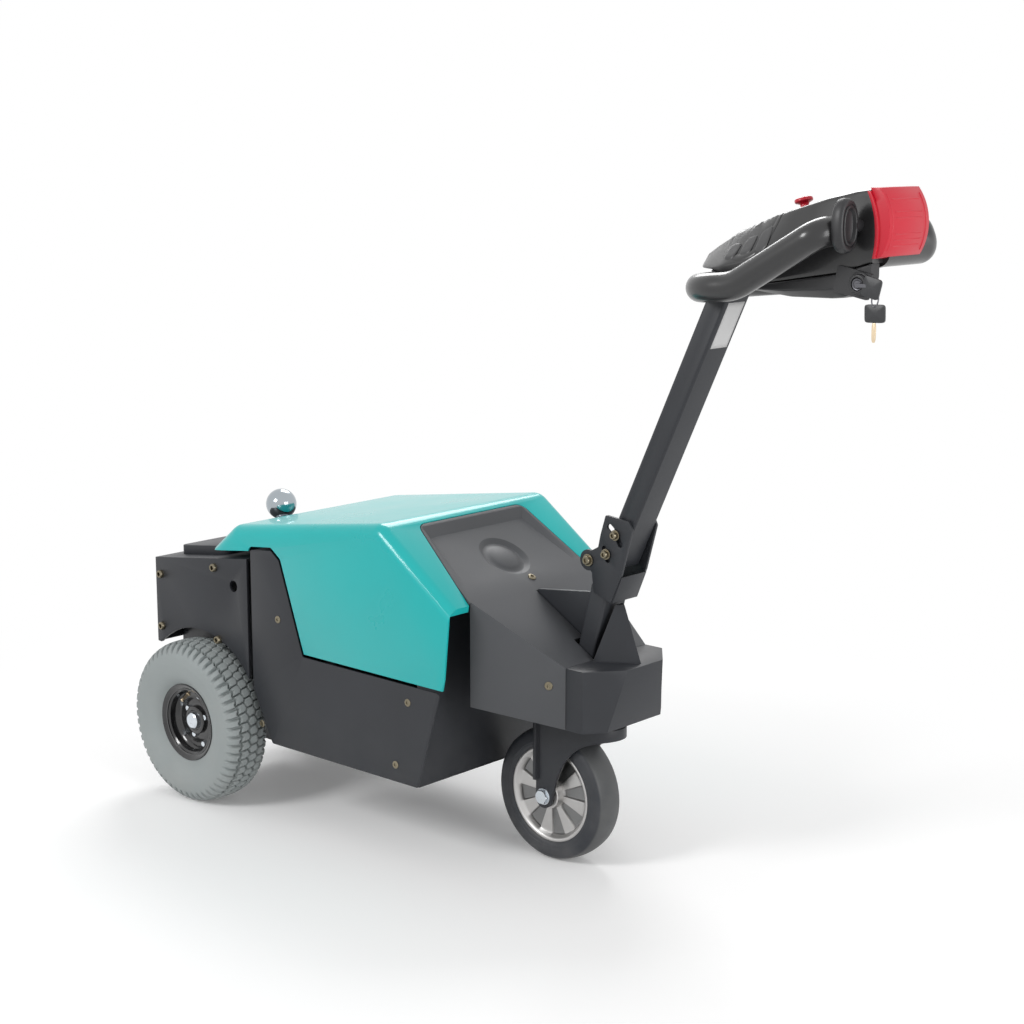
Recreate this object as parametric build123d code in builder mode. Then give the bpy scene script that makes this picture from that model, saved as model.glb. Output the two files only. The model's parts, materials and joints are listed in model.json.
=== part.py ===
"""Electric tow tractor for an operator on foot: two drive wheels, a castor and a tiller.

+X points from the tow ball towards the tiller, +Y is the machine's left side and +Z is up.
The origin lies on the floor, under the centre of the machine's outer box.
Lengths are in millimetres. A side outline is a row of (x ahead of the drive axle, height).
"""
import os
from math import atan2, cos, degrees, hypot, pi, radians, sin, tan

from build123d import *

# Overall layout
AXLE_X = -510.0
HALF_WIDTH = 183.0
SHEET = 3.0
SEAM = 5.0
SLOPE = 7.3
SIDES = (("left", 1), ("right", -1))

# Drive wheels
WHEEL_R = 130.0
WHEEL_Y = HALF_WIDTH + 1.5
TYRE_WIDTH = 84.0
SHOULDER_HALF = 37.0
SHOULDER_DROP = 9.0
BEAD_R = 52.0
BEAD_WIDTH = 54.0
RIM_LIP_R = 62.0
RIM_LIP = 3.0
RIM_DISC = 5.0
RIM_DISC_OFFSET = 3.0
HUB_BOSS_R = 16.0
HUB_BOSS = 3.0
HUB_FLANGE_R = 34.0
HUB_FLANGE = 8.0
HUB_CAP_R = 10.0
HUB_CAP_END = 20.0
SHAFT_R = 15.0
SHAFT_GAP = 5.0
RUNNING_CLEARANCE = 0.05

# Drive unit between the wheels
AXLE_TUBE_R = 27.0
AXLE_TUBE_SHORT = 50.5
GEARBOX = (140.0, 120.0, 120.0)
MOTOR_R = 48.0
MOTOR_LENGTH = 110.0
MOTOR_FOOT_LIFT = 25.0
MOTOR_HEAD_LIFT = 60.0

# Rear box and hitch
BOX_PLATE = 6.0
BOX_REAR = -106.0
BOX_FRONT = WHEEL_R - 11.0
BOX_BOTTOM = 240.0
BOX_FRONT_BOTTOM = 216.0
ARCH_GAP = 17.0
DECK_Z = 392.6
DECK_PLATE = 4.0
HITCH_PLATE = 14.5
HITCH_HALF_WIDTH = 150.0
HITCH_REAR = -84.0
HITCH_FRONT = 33.0
HITCH_ROUND = 14.0
SOCKET_R = 9.0
SOCKET_X = BOX_FRONT - 32.0
SOCKET_HEIGHTS = (360.0, 236.0)
BALL_R = 25.0
BALL_X = 0.0
BALL_RISE = 46.3
BALL_NECK_R = 12.0
BALL_COLLAR_R = 22.0
BALL_COLLAR = 6.0

GUARD = 3.0
GUARD_GAP = 7.0
GUARD_BOTTOM = 196.0
GUARD_SETBACK = 14.0

# Battery bay
TRAY_BOTTOM = 124.0
TRAY_REAR = WHEEL_R + 41.0
TRAY_WALL_X = TRAY_REAR - 32.0
TRAY_WALL_FOOT = 190.0
TRAY_WALL_TOP = 400.0
BULKHEAD_X = 487.0
BULKHEAD_TOP = 392.0
EAR_INNER = 142.0
EAR_OUTER = 156.0
BATTERY = (200.0, 260.0, 180.0)
BATTERY_X = 325.0

# Side panels: the cut-out's edge is where the cover comes down behind a seam
PANEL_REAR = WHEEL_R - 1.0
PANEL_SHELF = 273.0
PANEL = (
    (PANEL_REAR, 424.0), (176.0, 429.0), (194.0, 416.0), (244.0, PANEL_SHELF + 2.0), (532.0, PANEL_SHELF),
    (BULKHEAD_X, TRAY_BOTTOM), (TRAY_REAR, TRAY_BOTTOM), (PANEL_REAR, 205.0),
)
PANEL_ROUND = 5.0

# Cover and its front opening
COVER_WALL = 3.0
COVER_EDGE_R = 18.0
COVER_RIDGE_R = 30.0
COVER_LIP = 6.0
COVER_LIP_RUN = 4.0
COVER_REAR = 36.0
COVER_SHOULDER = (86.0, 456.0)
COVER_PEAK = (409.0, 500.5)
COVER_BROW = (551.0, 397.0)
COVER_CHEEK = (541.0, 296.0)
COVER_SKIRT = (534.0, 265.0)
COVER_FOOT_RISE = 13.0
OPENING_TOP = 14.0
OPENING_HALF_TOP = 113.0
OPENING_HALF_FOOT = 142.0
OPENING_ROUND = 18.0
OPENING_CUT = 30.0
OPENING_BEYOND = 20.0

# Front shell: a recessed panel in the opening that runs on as the nose
SHELL_WALL = 3.0
SHELL_GAP = 1.5
SHELL_LIP = 4.0
SHELL_BEVEL = 11.0
SHELL_BLOCK = 34.0
SHELL_FOOT_GAP = 2.0
SHELL_FRONT = (685.0, 320.0)
SHELL_RISE = 31.1
SHELL_REAR_X = 549.0
SHELL_REAR_HALF = 138.0
SHELL_REAR_BOTTOM = 248.0
SHELL_RIB_X = 575.0
DENT_R = 41.0
DENT_DEPTH = 4.5
DENT_GROOVE = (33.0, 28.0)
DENT_ISLAND = (21.0, 1.5)
DENT_DOWN = 100.0

# Castor
CASTOR_R = 100.0
CASTOR_WIDTH = 50.0
CASTOR_TREAD = 28.0
CASTOR_TRAIL = 54.0
SWIVEL_X = 652.0
CASTOR_HUB_R = 20.0
CASTOR_HUB_HALF = 27.5
CASTOR_BORE_R = 10.0
CASTOR_WEB = 12.0
CASTOR_POCKETS = 8
CASTOR_POCKET = (30.0, 60.0, 3.0)
CASTOR_SPOKE = 10.0
LEG_GAP = 30.0
LEG = 5.0
LEG_FLANGE = 7.0
LEG_FOOT_R = 15.0
CASTOR_HEADROOM = 13.5
CROWN = 4.0
CROWN_FRONT = 62.0
CROWN_BOTTOM = 2 * CASTOR_R + CASTOR_HEADROOM
CROWN_TOP = CROWN_BOTTOM + CROWN
RACE = 5.5
RACE_GAP = 2.0
RACE_R = 32.0
KINGPIN_R = 12.0
CASTOR_PLATE = (124.0, 6.0)
PLATE_BOTTOM = CROWN_TOP + RACE_GAP + RACE
CASTOR_NUT_R = 13.0
CASTOR_NUT = 7.0

# Nose frame and front
NOSE_HALF = 89.0
NOSE_BOTTOM = PLATE_BOTTOM + CASTOR_PLATE[1]
FRAME_PLATE = 5.0
FRAME_HALF = 60.0
FRAME_FRONT = 724.0
FRAME_HEIGHT = 60.0
NOSE_SEAM = 1.0
NOSE_CHEEK_X = 716.0
NOSE_TIP = (756.0, 39.0)
NOSE_TIP_BELOW = (737.0, 60.0)

# Post, saddle and tiller tube
POST_HALF = 25.0
POST_DEPTH = 30.0
POST_FOOT = (643.5, 236.0)
POST_HEAD = (691.0, 426.0)
POST_SLOT_GAP = 2.0
TUBE_WALL = 3.0
GUSSET = 8.0
GUSSET_TOP = 412.0
GUSSET_FOOT = 318.0
GUSSET_REAR = 559.0
GUSSET_TIP = 3.0
BRACE_HALF_FOOT = 36.0
BRACE_HALF_HEAD = 8.0
BRACE_FOOT_X = (690.0, 748.0)
BRACE_HEAD_X = (707.0, 717.0)
BRACE_TOP = 400.0
SADDLE_PLATE = 4.0
SADDLE_GAP = 0.4
SADDLE = ((705, 531), (696, 502), (692, 484), (681, 478), (664, 463), (681, 446), (684, 418), (715, 407),
          (734, 450), (752, 515), (746, 527))
SADDLE_EAR_R = 15.0
SADDLE_BAND = ((714.0, 407.5), (718.0, 407.5), (734.0, 446.0), (730.0, 446.0))
PIVOT = (674.5, 463.0)
PIVOT_R = 5.0
PIVOT_HEAD_R = 9.0
CLAMP_BOLTS = ((723.0, 505.0), (707.0, 476.0))
CLAMP_R = 4.0
CLAMP_HEAD_R = 8.0
BOLT_HEAD = 5.0
SLOT_CLEARANCE = 0.6
TILT_RANGE = 8.0
SLOT_REACH = 13.0
TUBE_HALF = POST_HALF - SADDLE_GAP
TUBE_FOOT = (709.5, 463.0)
TUBE_HEAD = (890.2, 853.0)
TUBE_DEPTH = 31.0
TUBE_LUG = ((664, 470), (664, 456), (700, 452), (722, 486), (712, 492))

# Grip: one bent tube from the near flank round the head to the chin
GRIP_R = 18.5
GRIP_PATH = (
    (1081, -38, 933.5), (1081, -90, 933.5), (955, -88, 862), (875, -88, 855), (875, 88, 855),
    (955, 88, 862), (1098, 98, 944), (1118, 92, 908), (1118, -20, 908),
)
GRIP_ROUNDS = (19.0, 70.0, 58.0, 58.0, 70.0, 20.0, 19.0)

# Tiller head
HEAD_HALF = 46.0
HEAD_ROUND = 12.0
HEAD_ROOT = (884.0, 896.0)
HEAD_BREAK = (960.0, 945.0)
HEAD_CREST = (1040.0, 974.0)
HEAD_BROW = (1118.0, 983.0)
HEAD_FACE = (1131.0, 940.0)
HEAD_CHIN = (1127.0, 896.0)
HEAD_SEAM = ((1078.0, 882.0), (962.0, 863.0), (884.0, 878.0))
HEAD_BELLY = ((900.0, 858.0), (1000.0, 847.5), (1076.0, 851.0), (1108.0, 862.0))
HEAD_FIT = 0.5
PAD_GAP = 4.0
PAD_HALF = 45.0
PAD_FLANGE = 5.0
PAD_FLANGE_HALF = 48.0
PAD_BULGE = 19.0
KEYPAD = (78.0, 52.0)
KEYPAD_X = 918.0
KEYPAD_PLATE = 2.5
KEYPAD_BUTTON = (17.0, 24.0)
KEYPAD_PITCH = 21.0
KEYPAD_BUTTON_LIFT = 1.5
KNOB_X = 985.0
KNOB_Y = 24.0
KNOB_STEM = (5.0, 17.0)
KNOB_CAP = (10.5, 5.0)
THROTTLES = (("left", 1, 20.0, 952.0, 20.0), ("right", -1, 36.0, 940.0, 31.0))
THROTTLE_X = 1101.0
THROTTLE_PLATE = 17.0
THROTTLE_GAP = 4.0
THROTTLE_STUB_R = 8.0
THROTTLE_DISH = 4.0
LOCK = (1104.0, 870.0)
LOCK_PANEL = (50.0, 43.0, 3.0)
LOCK_PANEL_TILT = 8.0
LOCK_R = 12.0
LOCK_LENGTH = 9.0
KEY_BOW = (20.0, 22.0, 3.0)
KEY_BLADE = (6.0, 22.0)
KEY_RING_R = 9.0
KEY_WIRE_R = 1.0


def side(y=0.0):
    """Upright plane along the machine: local x runs ahead of the axle and local y is height."""
    return Plane(origin=(AXLE_X, y, 0), x_dir=(1, 0, 0), z_dir=(0, -1, 0))


def level(z):
    """Level plane: local x runs ahead of the axle and local y is the machine's +Y."""
    return Plane(origin=(AXLE_X, 0, z), x_dir=(1, 0, 0), z_dir=(0, 0, 1))


def across(x):
    """Upright plane across the machine: local x is the machine's +Y and local y is height."""
    return Plane(origin=(AXLE_X + x, 0, 0), x_dir=(0, 1, 0), z_dir=(1, 0, 0))


def along_line(start, end, y=0.0):
    """Plane square to the line from start to end in the side view; local y is the machine's +Y."""
    run = run_length(start, end)
    aim = ((end[0] - start[0]) / run, 0, (end[1] - start[1]) / run)
    return Plane(origin=(AXLE_X + start[0], y, start[1]), x_dir=(aim[2], 0, -aim[0]), z_dir=aim)


def falling_plane(point, fall):
    """Plane through a point of the side view that falls forward: local x runs down it, local y is +Y."""
    origin = (AXLE_X + point[0], 0, point[1])
    return Plane(origin=origin, x_dir=(cos(fall), 0, -sin(fall)), z_dir=(sin(fall), 0, cos(fall)))


def run_length(start, end):
    """Distance between two points of the side view."""
    return hypot(end[0] - start[0], end[1] - start[1])


def shell_height(x):
    """Height of the front shell's sloping panel."""
    return SHELL_FRONT[1] + (SHELL_FRONT[0] - x) * tan(radians(SHELL_RISE))


def post_rear(z):
    """How far ahead of the axle the post's rear face is at one height."""
    (x0, z0), (x1, z1) = POST_FOOT, POST_HEAD
    half = POST_DEPTH / 2 * run_length(POST_FOOT, POST_HEAD) / (z1 - z0)
    return x0 + (z - z0) * (x1 - x0) / (z1 - z0) - half


def deck_height(x):
    """Height of the rear box's sloping deck."""
    return DECK_Z + x * tan(radians(SLOPE))


def plate(outline, y_mid, thickness):
    """Upright plate cut to a side outline."""
    with BuildSketch(side(y_mid)) as face:
        with BuildLine():
            Polyline(*outline, close=True)
        make_face()
    extrude(face.sketch, amount=thickness / 2, both=True)


def bar(points, y_mid, thickness, radius):
    """Upright plate whose outline has the same round at each corner."""
    with BuildSketch(side(y_mid)) as face:
        with BuildLine():
            FilletPolyline(*points, radius=radius, close=True)
        make_face()
    extrude(face.sketch, amount=thickness / 2, both=True)


def strip(line, thickness):
    """Side outline of a sheet whose top runs along a line and whose thickness hangs below it."""
    (x0, z0), (x1, z1) = line
    return ((x0, z0), (x1, z1), (x1, z1 - thickness), (x0, z0 - thickness))


def save(piece, name):
    """Label a finished piece and write it."""
    piece.part.label = name
    export_step(piece.part, f"parts/{name}.step")


def wheel_plane(sign):
    """Plane through a drive wheel's axis: local x points outboard and local y is the radius."""
    return Plane(origin=(AXLE_X, sign * WHEEL_Y, WHEEL_R), x_dir=(0, sign, 0), z_dir=(sign, 0, 0))


def drive_axis():
    """Axis of both drive wheels."""
    return Axis((AXLE_X, 0, WHEEL_R), (0, 1, 0))


def make_tyre(name, sign):
    """Air-filled tyre; its crown stands for the tips of the tread blocks."""
    shoulder = (SHOULDER_HALF, WHEEL_R - SHOULDER_DROP)
    half = BEAD_WIDTH / 2
    bulge = (TYRE_WIDTH / 2, (RIM_LIP_R + shoulder[1]) / 2)
    foot = (half, RIM_LIP_R)
    with BuildPart() as tyre:
        with BuildSketch(wheel_plane(sign)):
            with BuildLine():
                Polyline((-half, RIM_LIP_R), (-half, BEAD_R), (half, BEAD_R), foot)
                ThreePointArc(foot, bulge, shoulder)
                ThreePointArc(shoulder, (0, WHEEL_R), (-shoulder[0], shoulder[1]))
                ThreePointArc((-shoulder[0], shoulder[1]), (-bulge[0], bulge[1]), (-foot[0], foot[1]))
            make_face()
        revolve(axis=drive_axis())
    save(tyre, f"tyre_{name}")


def make_rim(name, sign):
    """Pressed steel rim with a lip each side and a dished disc."""
    half = BEAD_WIDTH / 2
    seat = BEAD_R - RIM_LIP
    disc_end = RIM_DISC_OFFSET + RIM_DISC
    with BuildPart() as rim:
        with BuildSketch(wheel_plane(sign)):
            with BuildLine():
                Polyline(
                    (-half - RIM_LIP, seat), (-half - RIM_LIP, RIM_LIP_R), (-half, RIM_LIP_R),
                    (-half, BEAD_R), (half, BEAD_R), (half, RIM_LIP_R),
                    (half + RIM_LIP, RIM_LIP_R), (half + RIM_LIP, seat), (disc_end, seat),
                    (disc_end, HUB_BOSS_R), (RIM_DISC_OFFSET, HUB_BOSS_R), (RIM_DISC_OFFSET, seat),
                    close=True,
                )
            make_face()
        revolve(axis=drive_axis())
    save(rim, f"rim_{name}")


def make_hub(name, sign):
    """Hub with its flange behind the rim's disc, its cap nut and the drive shaft's stub."""
    inner = RIM_DISC_OFFSET - HUB_FLANGE
    boss_end = RIM_DISC_OFFSET + RIM_DISC + HUB_BOSS
    shaft_end = GEARBOX[1] / 2 + SHAFT_GAP - WHEEL_Y
    with BuildPart() as hub:
        with BuildSketch(wheel_plane(sign)):
            with BuildLine():
                Polyline(
                    (shaft_end, 0), (shaft_end, SHAFT_R), (inner, SHAFT_R), (inner, HUB_FLANGE_R),
                    (RIM_DISC_OFFSET, HUB_FLANGE_R), (RIM_DISC_OFFSET, HUB_BOSS_R), (boss_end, HUB_BOSS_R),
                    (boss_end, HUB_CAP_R), (HUB_CAP_END, HUB_CAP_R), (HUB_CAP_END, 0), close=True,
                )
            make_face()
        revolve(axis=drive_axis())
    save(hub, f"hub_{name}")


def make_drive_unit():
    """Gearbox block, motor and the axle tubes that carry the wheel shafts."""
    tube_end = WHEEL_Y - AXLE_TUBE_SHORT
    bore = tube_end - GEARBOX[1] / 2
    motor_foot = (GEARBOX[0] / 2, WHEEL_R + MOTOR_FOOT_LIFT)
    motor_head = (GEARBOX[0], WHEEL_R + MOTOR_HEAD_LIFT)
    with BuildPart() as unit:
        with Locations((AXLE_X, 0, WHEEL_R)):
            Box(*GEARBOX)
        with BuildSketch(side()):
            with Locations((0, WHEEL_R)):
                Circle(AXLE_TUBE_R)
        extrude(amount=tube_end, both=True)
        with BuildSketch(along_line(motor_foot, motor_head)):
            Circle(MOTOR_R)
        extrude(amount=MOTOR_LENGTH / 2, both=True)
        for _, sign in SIDES:
            with BuildSketch(side(sign * tube_end)):
                with Locations((0, WHEEL_R)):
                    Circle(SHAFT_R + RUNNING_CLEARANCE)
            extrude(amount=sign * bore, mode=Mode.SUBTRACT)
    save(unit, "drive_unit")


def make_rear_side(name, sign):
    """Thick side plate of the rear box with the wheel arch and two round sockets."""
    mid = sign * (HALF_WIDTH - BOX_PLATE / 2)
    outline = (
        (BOX_REAR, deck_height(BOX_REAR)), (BOX_FRONT, deck_height(BOX_FRONT)),
        (BOX_FRONT, BOX_FRONT_BOTTOM), (BOX_REAR, BOX_BOTTOM),
    )
    with BuildPart() as wall:
        plate(outline, mid, BOX_PLATE)
        with BuildSketch(side(mid)):
            with Locations((0, WHEEL_R)):
                Circle(WHEEL_R + ARCH_GAP)
            with Locations(*[(SOCKET_X, z) for z in SOCKET_HEIGHTS]):
                Circle(SOCKET_R)
        extrude(amount=BOX_PLATE, both=True, mode=Mode.SUBTRACT)
    save(wall, f"rear_side_{name}")


def make_rear_wall():
    """Rear wall of the box between its two side plates, under the deck."""
    inner = HALF_WIDTH - BOX_PLATE
    front = BOX_REAR + DECK_PLATE
    outline = (
        (BOX_REAR, BOX_BOTTOM), (BOX_REAR, deck_height(BOX_REAR) - DECK_PLATE),
        (front, deck_height(front) - DECK_PLATE), (front, BOX_BOTTOM),
    )
    with BuildPart() as wall:
        plate(outline, 0, 2 * inner)
    save(wall, "rear_wall")


def make_rear_deck():
    """Sloping deck between the rear box's side plates, with a guard that hangs inboard of each wheel."""
    ends = ((BOX_REAR, deck_height(BOX_REAR)), (BOX_FRONT, deck_height(BOX_FRONT)))
    rear = BOX_REAR + DECK_PLATE
    front = BOX_FRONT - GUARD_SETBACK
    guard = (
        (rear, deck_height(rear) - DECK_PLATE / 2), (front, deck_height(front) - DECK_PLATE / 2),
        (front, GUARD_BOTTOM), (rear + 2 * GUARD_SETBACK, GUARD_BOTTOM),
        (rear, GUARD_BOTTOM + 2 * GUARD_SETBACK),
    )
    outer = WHEEL_Y - TYRE_WIDTH / 2 - GUARD_GAP
    with BuildPart() as deck:
        plate(strip(ends, DECK_PLATE), 0, 2 * (HALF_WIDTH - BOX_PLATE))
        for _, sign in SIDES:
            plate(guard, sign * (outer - GUARD / 2), GUARD)
    save(deck, "rear_deck")


def make_hitch_plate():
    """Raised plate on the deck that carries the tow ball."""
    ends = [(x, deck_height(x) + HITCH_PLATE) for x in (HITCH_REAR, HITCH_FRONT)]
    with BuildPart() as hitch:
        plate(strip(ends, HITCH_PLATE), 0, 2 * HITCH_HALF_WIDTH)
        fillet(hitch.edges().filter_by(Axis.Z), HITCH_ROUND)
    save(hitch, "hitch_plate")


def make_tow_ball():
    """Ball on a waisted neck whose collar stands on the hitch plate."""
    seat = falling_plane((BALL_X, deck_height(BALL_X) + HITCH_PLATE), -radians(SLOPE))
    with BuildPart() as ball:
        with BuildSketch(seat):
            Circle(BALL_COLLAR_R)
        extrude(amount=BALL_COLLAR)
        with BuildSketch(seat):
            Circle(BALL_NECK_R)
        extrude(amount=BALL_RISE)
        with Locations(seat.offset(BALL_RISE)):
            Sphere(BALL_R)
    save(ball, "tow_ball")


def make_side_panel(name, sign):
    """Outer side sheet of the battery bay with its cut-out for the cover."""
    with BuildPart() as panel:
        bar(PANEL, sign * (HALF_WIDTH - SHEET / 2), SHEET, PANEL_ROUND)
    save(panel, f"side_panel_{name}")


def make_chassis_tray():
    """Folded floor of the battery bay with an upturned rear wall."""
    outline = (
        (BULKHEAD_X, TRAY_BOTTOM), (TRAY_REAR, TRAY_BOTTOM), (TRAY_WALL_X, TRAY_WALL_FOOT),
        (TRAY_WALL_X, TRAY_WALL_TOP), (TRAY_WALL_X + SHEET, TRAY_WALL_TOP),
        (TRAY_WALL_X + SHEET, TRAY_WALL_FOOT + 1.0), (TRAY_REAR + 2.0, TRAY_BOTTOM + SHEET),
        (BULKHEAD_X, TRAY_BOTTOM + SHEET),
    )
    with BuildPart() as tray:
        plate(outline, 0, 2 * (HALF_WIDTH - SHEET))
    save(tray, "chassis_tray")


def make_bulkhead():
    """Front wall of the battery bay with two ears that carry the cover's slope."""
    inner = HALF_WIDTH - SHEET
    fall = atan2(COVER_PEAK[1] - COVER_BROW[1], COVER_BROW[0] - COVER_PEAK[0])
    ear_top = COVER_PEAK[1] - (BULKHEAD_X - COVER_PEAK[0]) * tan(fall) - COVER_WALL / cos(fall)
    foot = TRAY_BOTTOM + SHEET
    with BuildPart() as wall:
        with BuildSketch(across(BULKHEAD_X)):
            with Locations((0, (foot + BULKHEAD_TOP) / 2)):
                Rectangle(2 * inner, BULKHEAD_TOP - foot)
            for _, sign in SIDES:
                with Locations((sign * (EAR_INNER + EAR_OUTER) / 2, (BULKHEAD_TOP + ear_top) / 2)):
                    Rectangle(EAR_OUTER - EAR_INNER, ear_top - BULKHEAD_TOP)
        extrude(amount=-SHEET)
    save(wall, "bulkhead")


def make_battery():
    """Battery block that stands on the chassis tray."""
    with BuildPart() as battery:
        with BuildSketch(level(TRAY_BOTTOM + SHEET)):
            with Locations((BATTERY_X, 0)):
                Rectangle(BATTERY[0], BATTERY[1])
        extrude(amount=BATTERY[2])
    save(battery, "battery")


def cover_form(inset):
    """Closed block of the cover's outer form, or of its inside when inset by the wall."""
    foot = deck_height(COVER_REAR) + COVER_FOOT_RISE
    rear = COVER_REAR + COVER_LIP_RUN
    outline = (
        (rear, foot), (COVER_REAR, foot + COVER_LIP), COVER_SHOULDER, COVER_PEAK, COVER_BROW,
        COVER_CHEEK, COVER_SKIRT, (rear, COVER_SKIRT[1]),
    )
    with BuildPart() as form:
        with BuildSketch(side()) as profile:
            with BuildLine():
                Polyline(*outline, close=True)
            make_face()
            ridges = profile.vertices().sort_by(Axis.Y)[-2:]
            fillet(ridges, COVER_RIDGE_R)
            if inset:
                offset(amount=-inset, kind=Kind.INTERSECTION)
        extrude(amount=HALF_WIDTH - inset, both=True)
        fillet(long_top_edges(form), COVER_EDGE_R - inset)
    return form.part


def long_top_edges(form):
    """The cover's edges that run along its rear slant, top and front slope."""
    found = []
    for edge in form.edges().filter_by(GeomType.LINE):
        centre = edge.center()
        ahead = centre.X - AXLE_X
        runs_along = abs(edge.tangent_at(0).Y) < 0.01
        behind_brow = COVER_REAR + COVER_LIP < ahead < COVER_BROW[0] - COVER_LIP
        if runs_along and behind_brow and centre.Z > COVER_BROW[1] + COVER_EDGE_R:
            found.append(edge)
    return found


def slope_fall():
    """Angle of the cover's front slope below the level."""
    return atan2(COVER_PEAK[1] - COVER_BROW[1], COVER_BROW[0] - COVER_PEAK[0])


def slope_plane(depth=0.0):
    """Plane of the cover's front slope, or one below it."""
    fall = slope_fall()
    return falling_plane((COVER_PEAK[0] - depth * sin(fall), COVER_PEAK[1] - depth * cos(fall)), fall)


def opening_half(reach):
    """Half width of the front opening at one distance down the slope."""
    flare = (OPENING_HALF_FOOT - OPENING_HALF_TOP) / (run_length(COVER_PEAK, COVER_BROW) - OPENING_TOP)
    return OPENING_HALF_TOP + flare * (reach - OPENING_TOP)


def trapezoid(top, foot, inset):
    """Outline across the front opening from top to foot, inset from its two sides."""
    half_top = opening_half(top) - inset
    half_foot = opening_half(foot) - inset
    return ((top, -half_top), (foot, -half_foot), (foot, half_foot), (top, half_top))


def make_cover():
    """Hollow cover with rounded long edges, open below and at the front."""
    slope_run = run_length(COVER_PEAK, COVER_BROW)
    behind = PANEL_REAR + 6.0
    low = COVER_SKIRT[1] - 2 * OPENING_CUT
    tail = COVER_REAR - 36.0
    rear = (
        (tail, deck_height(tail) + COVER_FOOT_RISE), (behind, deck_height(behind) + COVER_FOOT_RISE),
        (behind, low), (tail, low),
    )
    shelf = PANEL_SHELF + SEAM
    mouth = COVER_SKIRT[0] - 19.0
    front = COVER_BROW[0] + 19.0
    cheek = COVER_BROW[1] - 9.0
    with BuildPart() as cover:
        add(cover_form(0))
        add(cover_form(COVER_WALL), mode=Mode.SUBTRACT)
        with BuildSketch(side()):
            with BuildLine():
                FilletPolyline(*PANEL, radius=PANEL_ROUND, close=True)
            make_face()
            offset(amount=SEAM)
            with BuildLine():
                Polyline(*rear, close=True)
            make_face()
            with BuildLine():
                Polyline((mouth, low), (front, low), (front, shelf), (mouth, shelf), close=True)
            make_face()
        extrude(amount=HALF_WIDTH + 1, both=True, mode=Mode.SUBTRACT)
        with BuildSketch(side()):
            with BuildLine():
                Polyline((mouth, low), (front, low), (front, cheek), (mouth, cheek), close=True)
            make_face()
        extrude(amount=HALF_WIDTH - COVER_WALL, both=True, mode=Mode.SUBTRACT)
        with BuildSketch(slope_plane(OPENING_CUT)) as gap:
            with BuildLine():
                Polyline(*trapezoid(OPENING_TOP, slope_run + OPENING_BEYOND, 0), close=True)
            make_face()
            fillet(gap.vertices().sort_by(Axis.X)[:2], OPENING_ROUND)
        extrude(amount=2 * OPENING_CUT, mode=Mode.SUBTRACT)
    save(cover, "cover")


def shell_plane(depth=0.0):
    """Plane of the front shell's sloping panel, or one below it."""
    fall = radians(SHELL_RISE)
    return falling_plane((SHELL_FRONT[0] - depth * sin(fall), SHELL_FRONT[1] - depth * cos(fall)), fall)


def nose_section(x, half, bottom, inset):
    """Cross section of the shell's nose part at one place."""
    top = shell_height(x) - inset / cos(radians(SHELL_RISE))
    with BuildSketch(across(x)) as section:
        with BuildLine():
            Polyline(
                (inset - half, bottom), (half - inset, bottom), (half - inset, top), (inset - half, top),
                close=True,
            )
        make_face()
    return section.sketch


def nose_hull():
    """Tapering nose part of the shell: the panel's lower end and two side walls, open below."""
    ends = ((SHELL_REAR_X, SHELL_REAR_HALF, SHELL_REAR_BOTTOM), (SHELL_FRONT[0], NOSE_HALF, NOSE_BOTTOM))
    with BuildPart() as nose:
        loft([nose_section(x, half, bottom, 0) for x, half, bottom in ends])
        inner = [nose_section(x, half, bottom - 2 * SHELL_WALL, SHELL_WALL) for x, half, bottom in ends]
        loft(inner, mode=Mode.SUBTRACT)
    return nose.part


def floor_corner(s, y):
    """A point of the shell's panel under the place s down the cover's slope, in the panel's own frame."""
    fall = slope_fall()
    x = COVER_PEAK[0] + s * cos(fall)
    return ((x - SHELL_FRONT[0]) / cos(radians(SHELL_RISE)), y)


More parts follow.
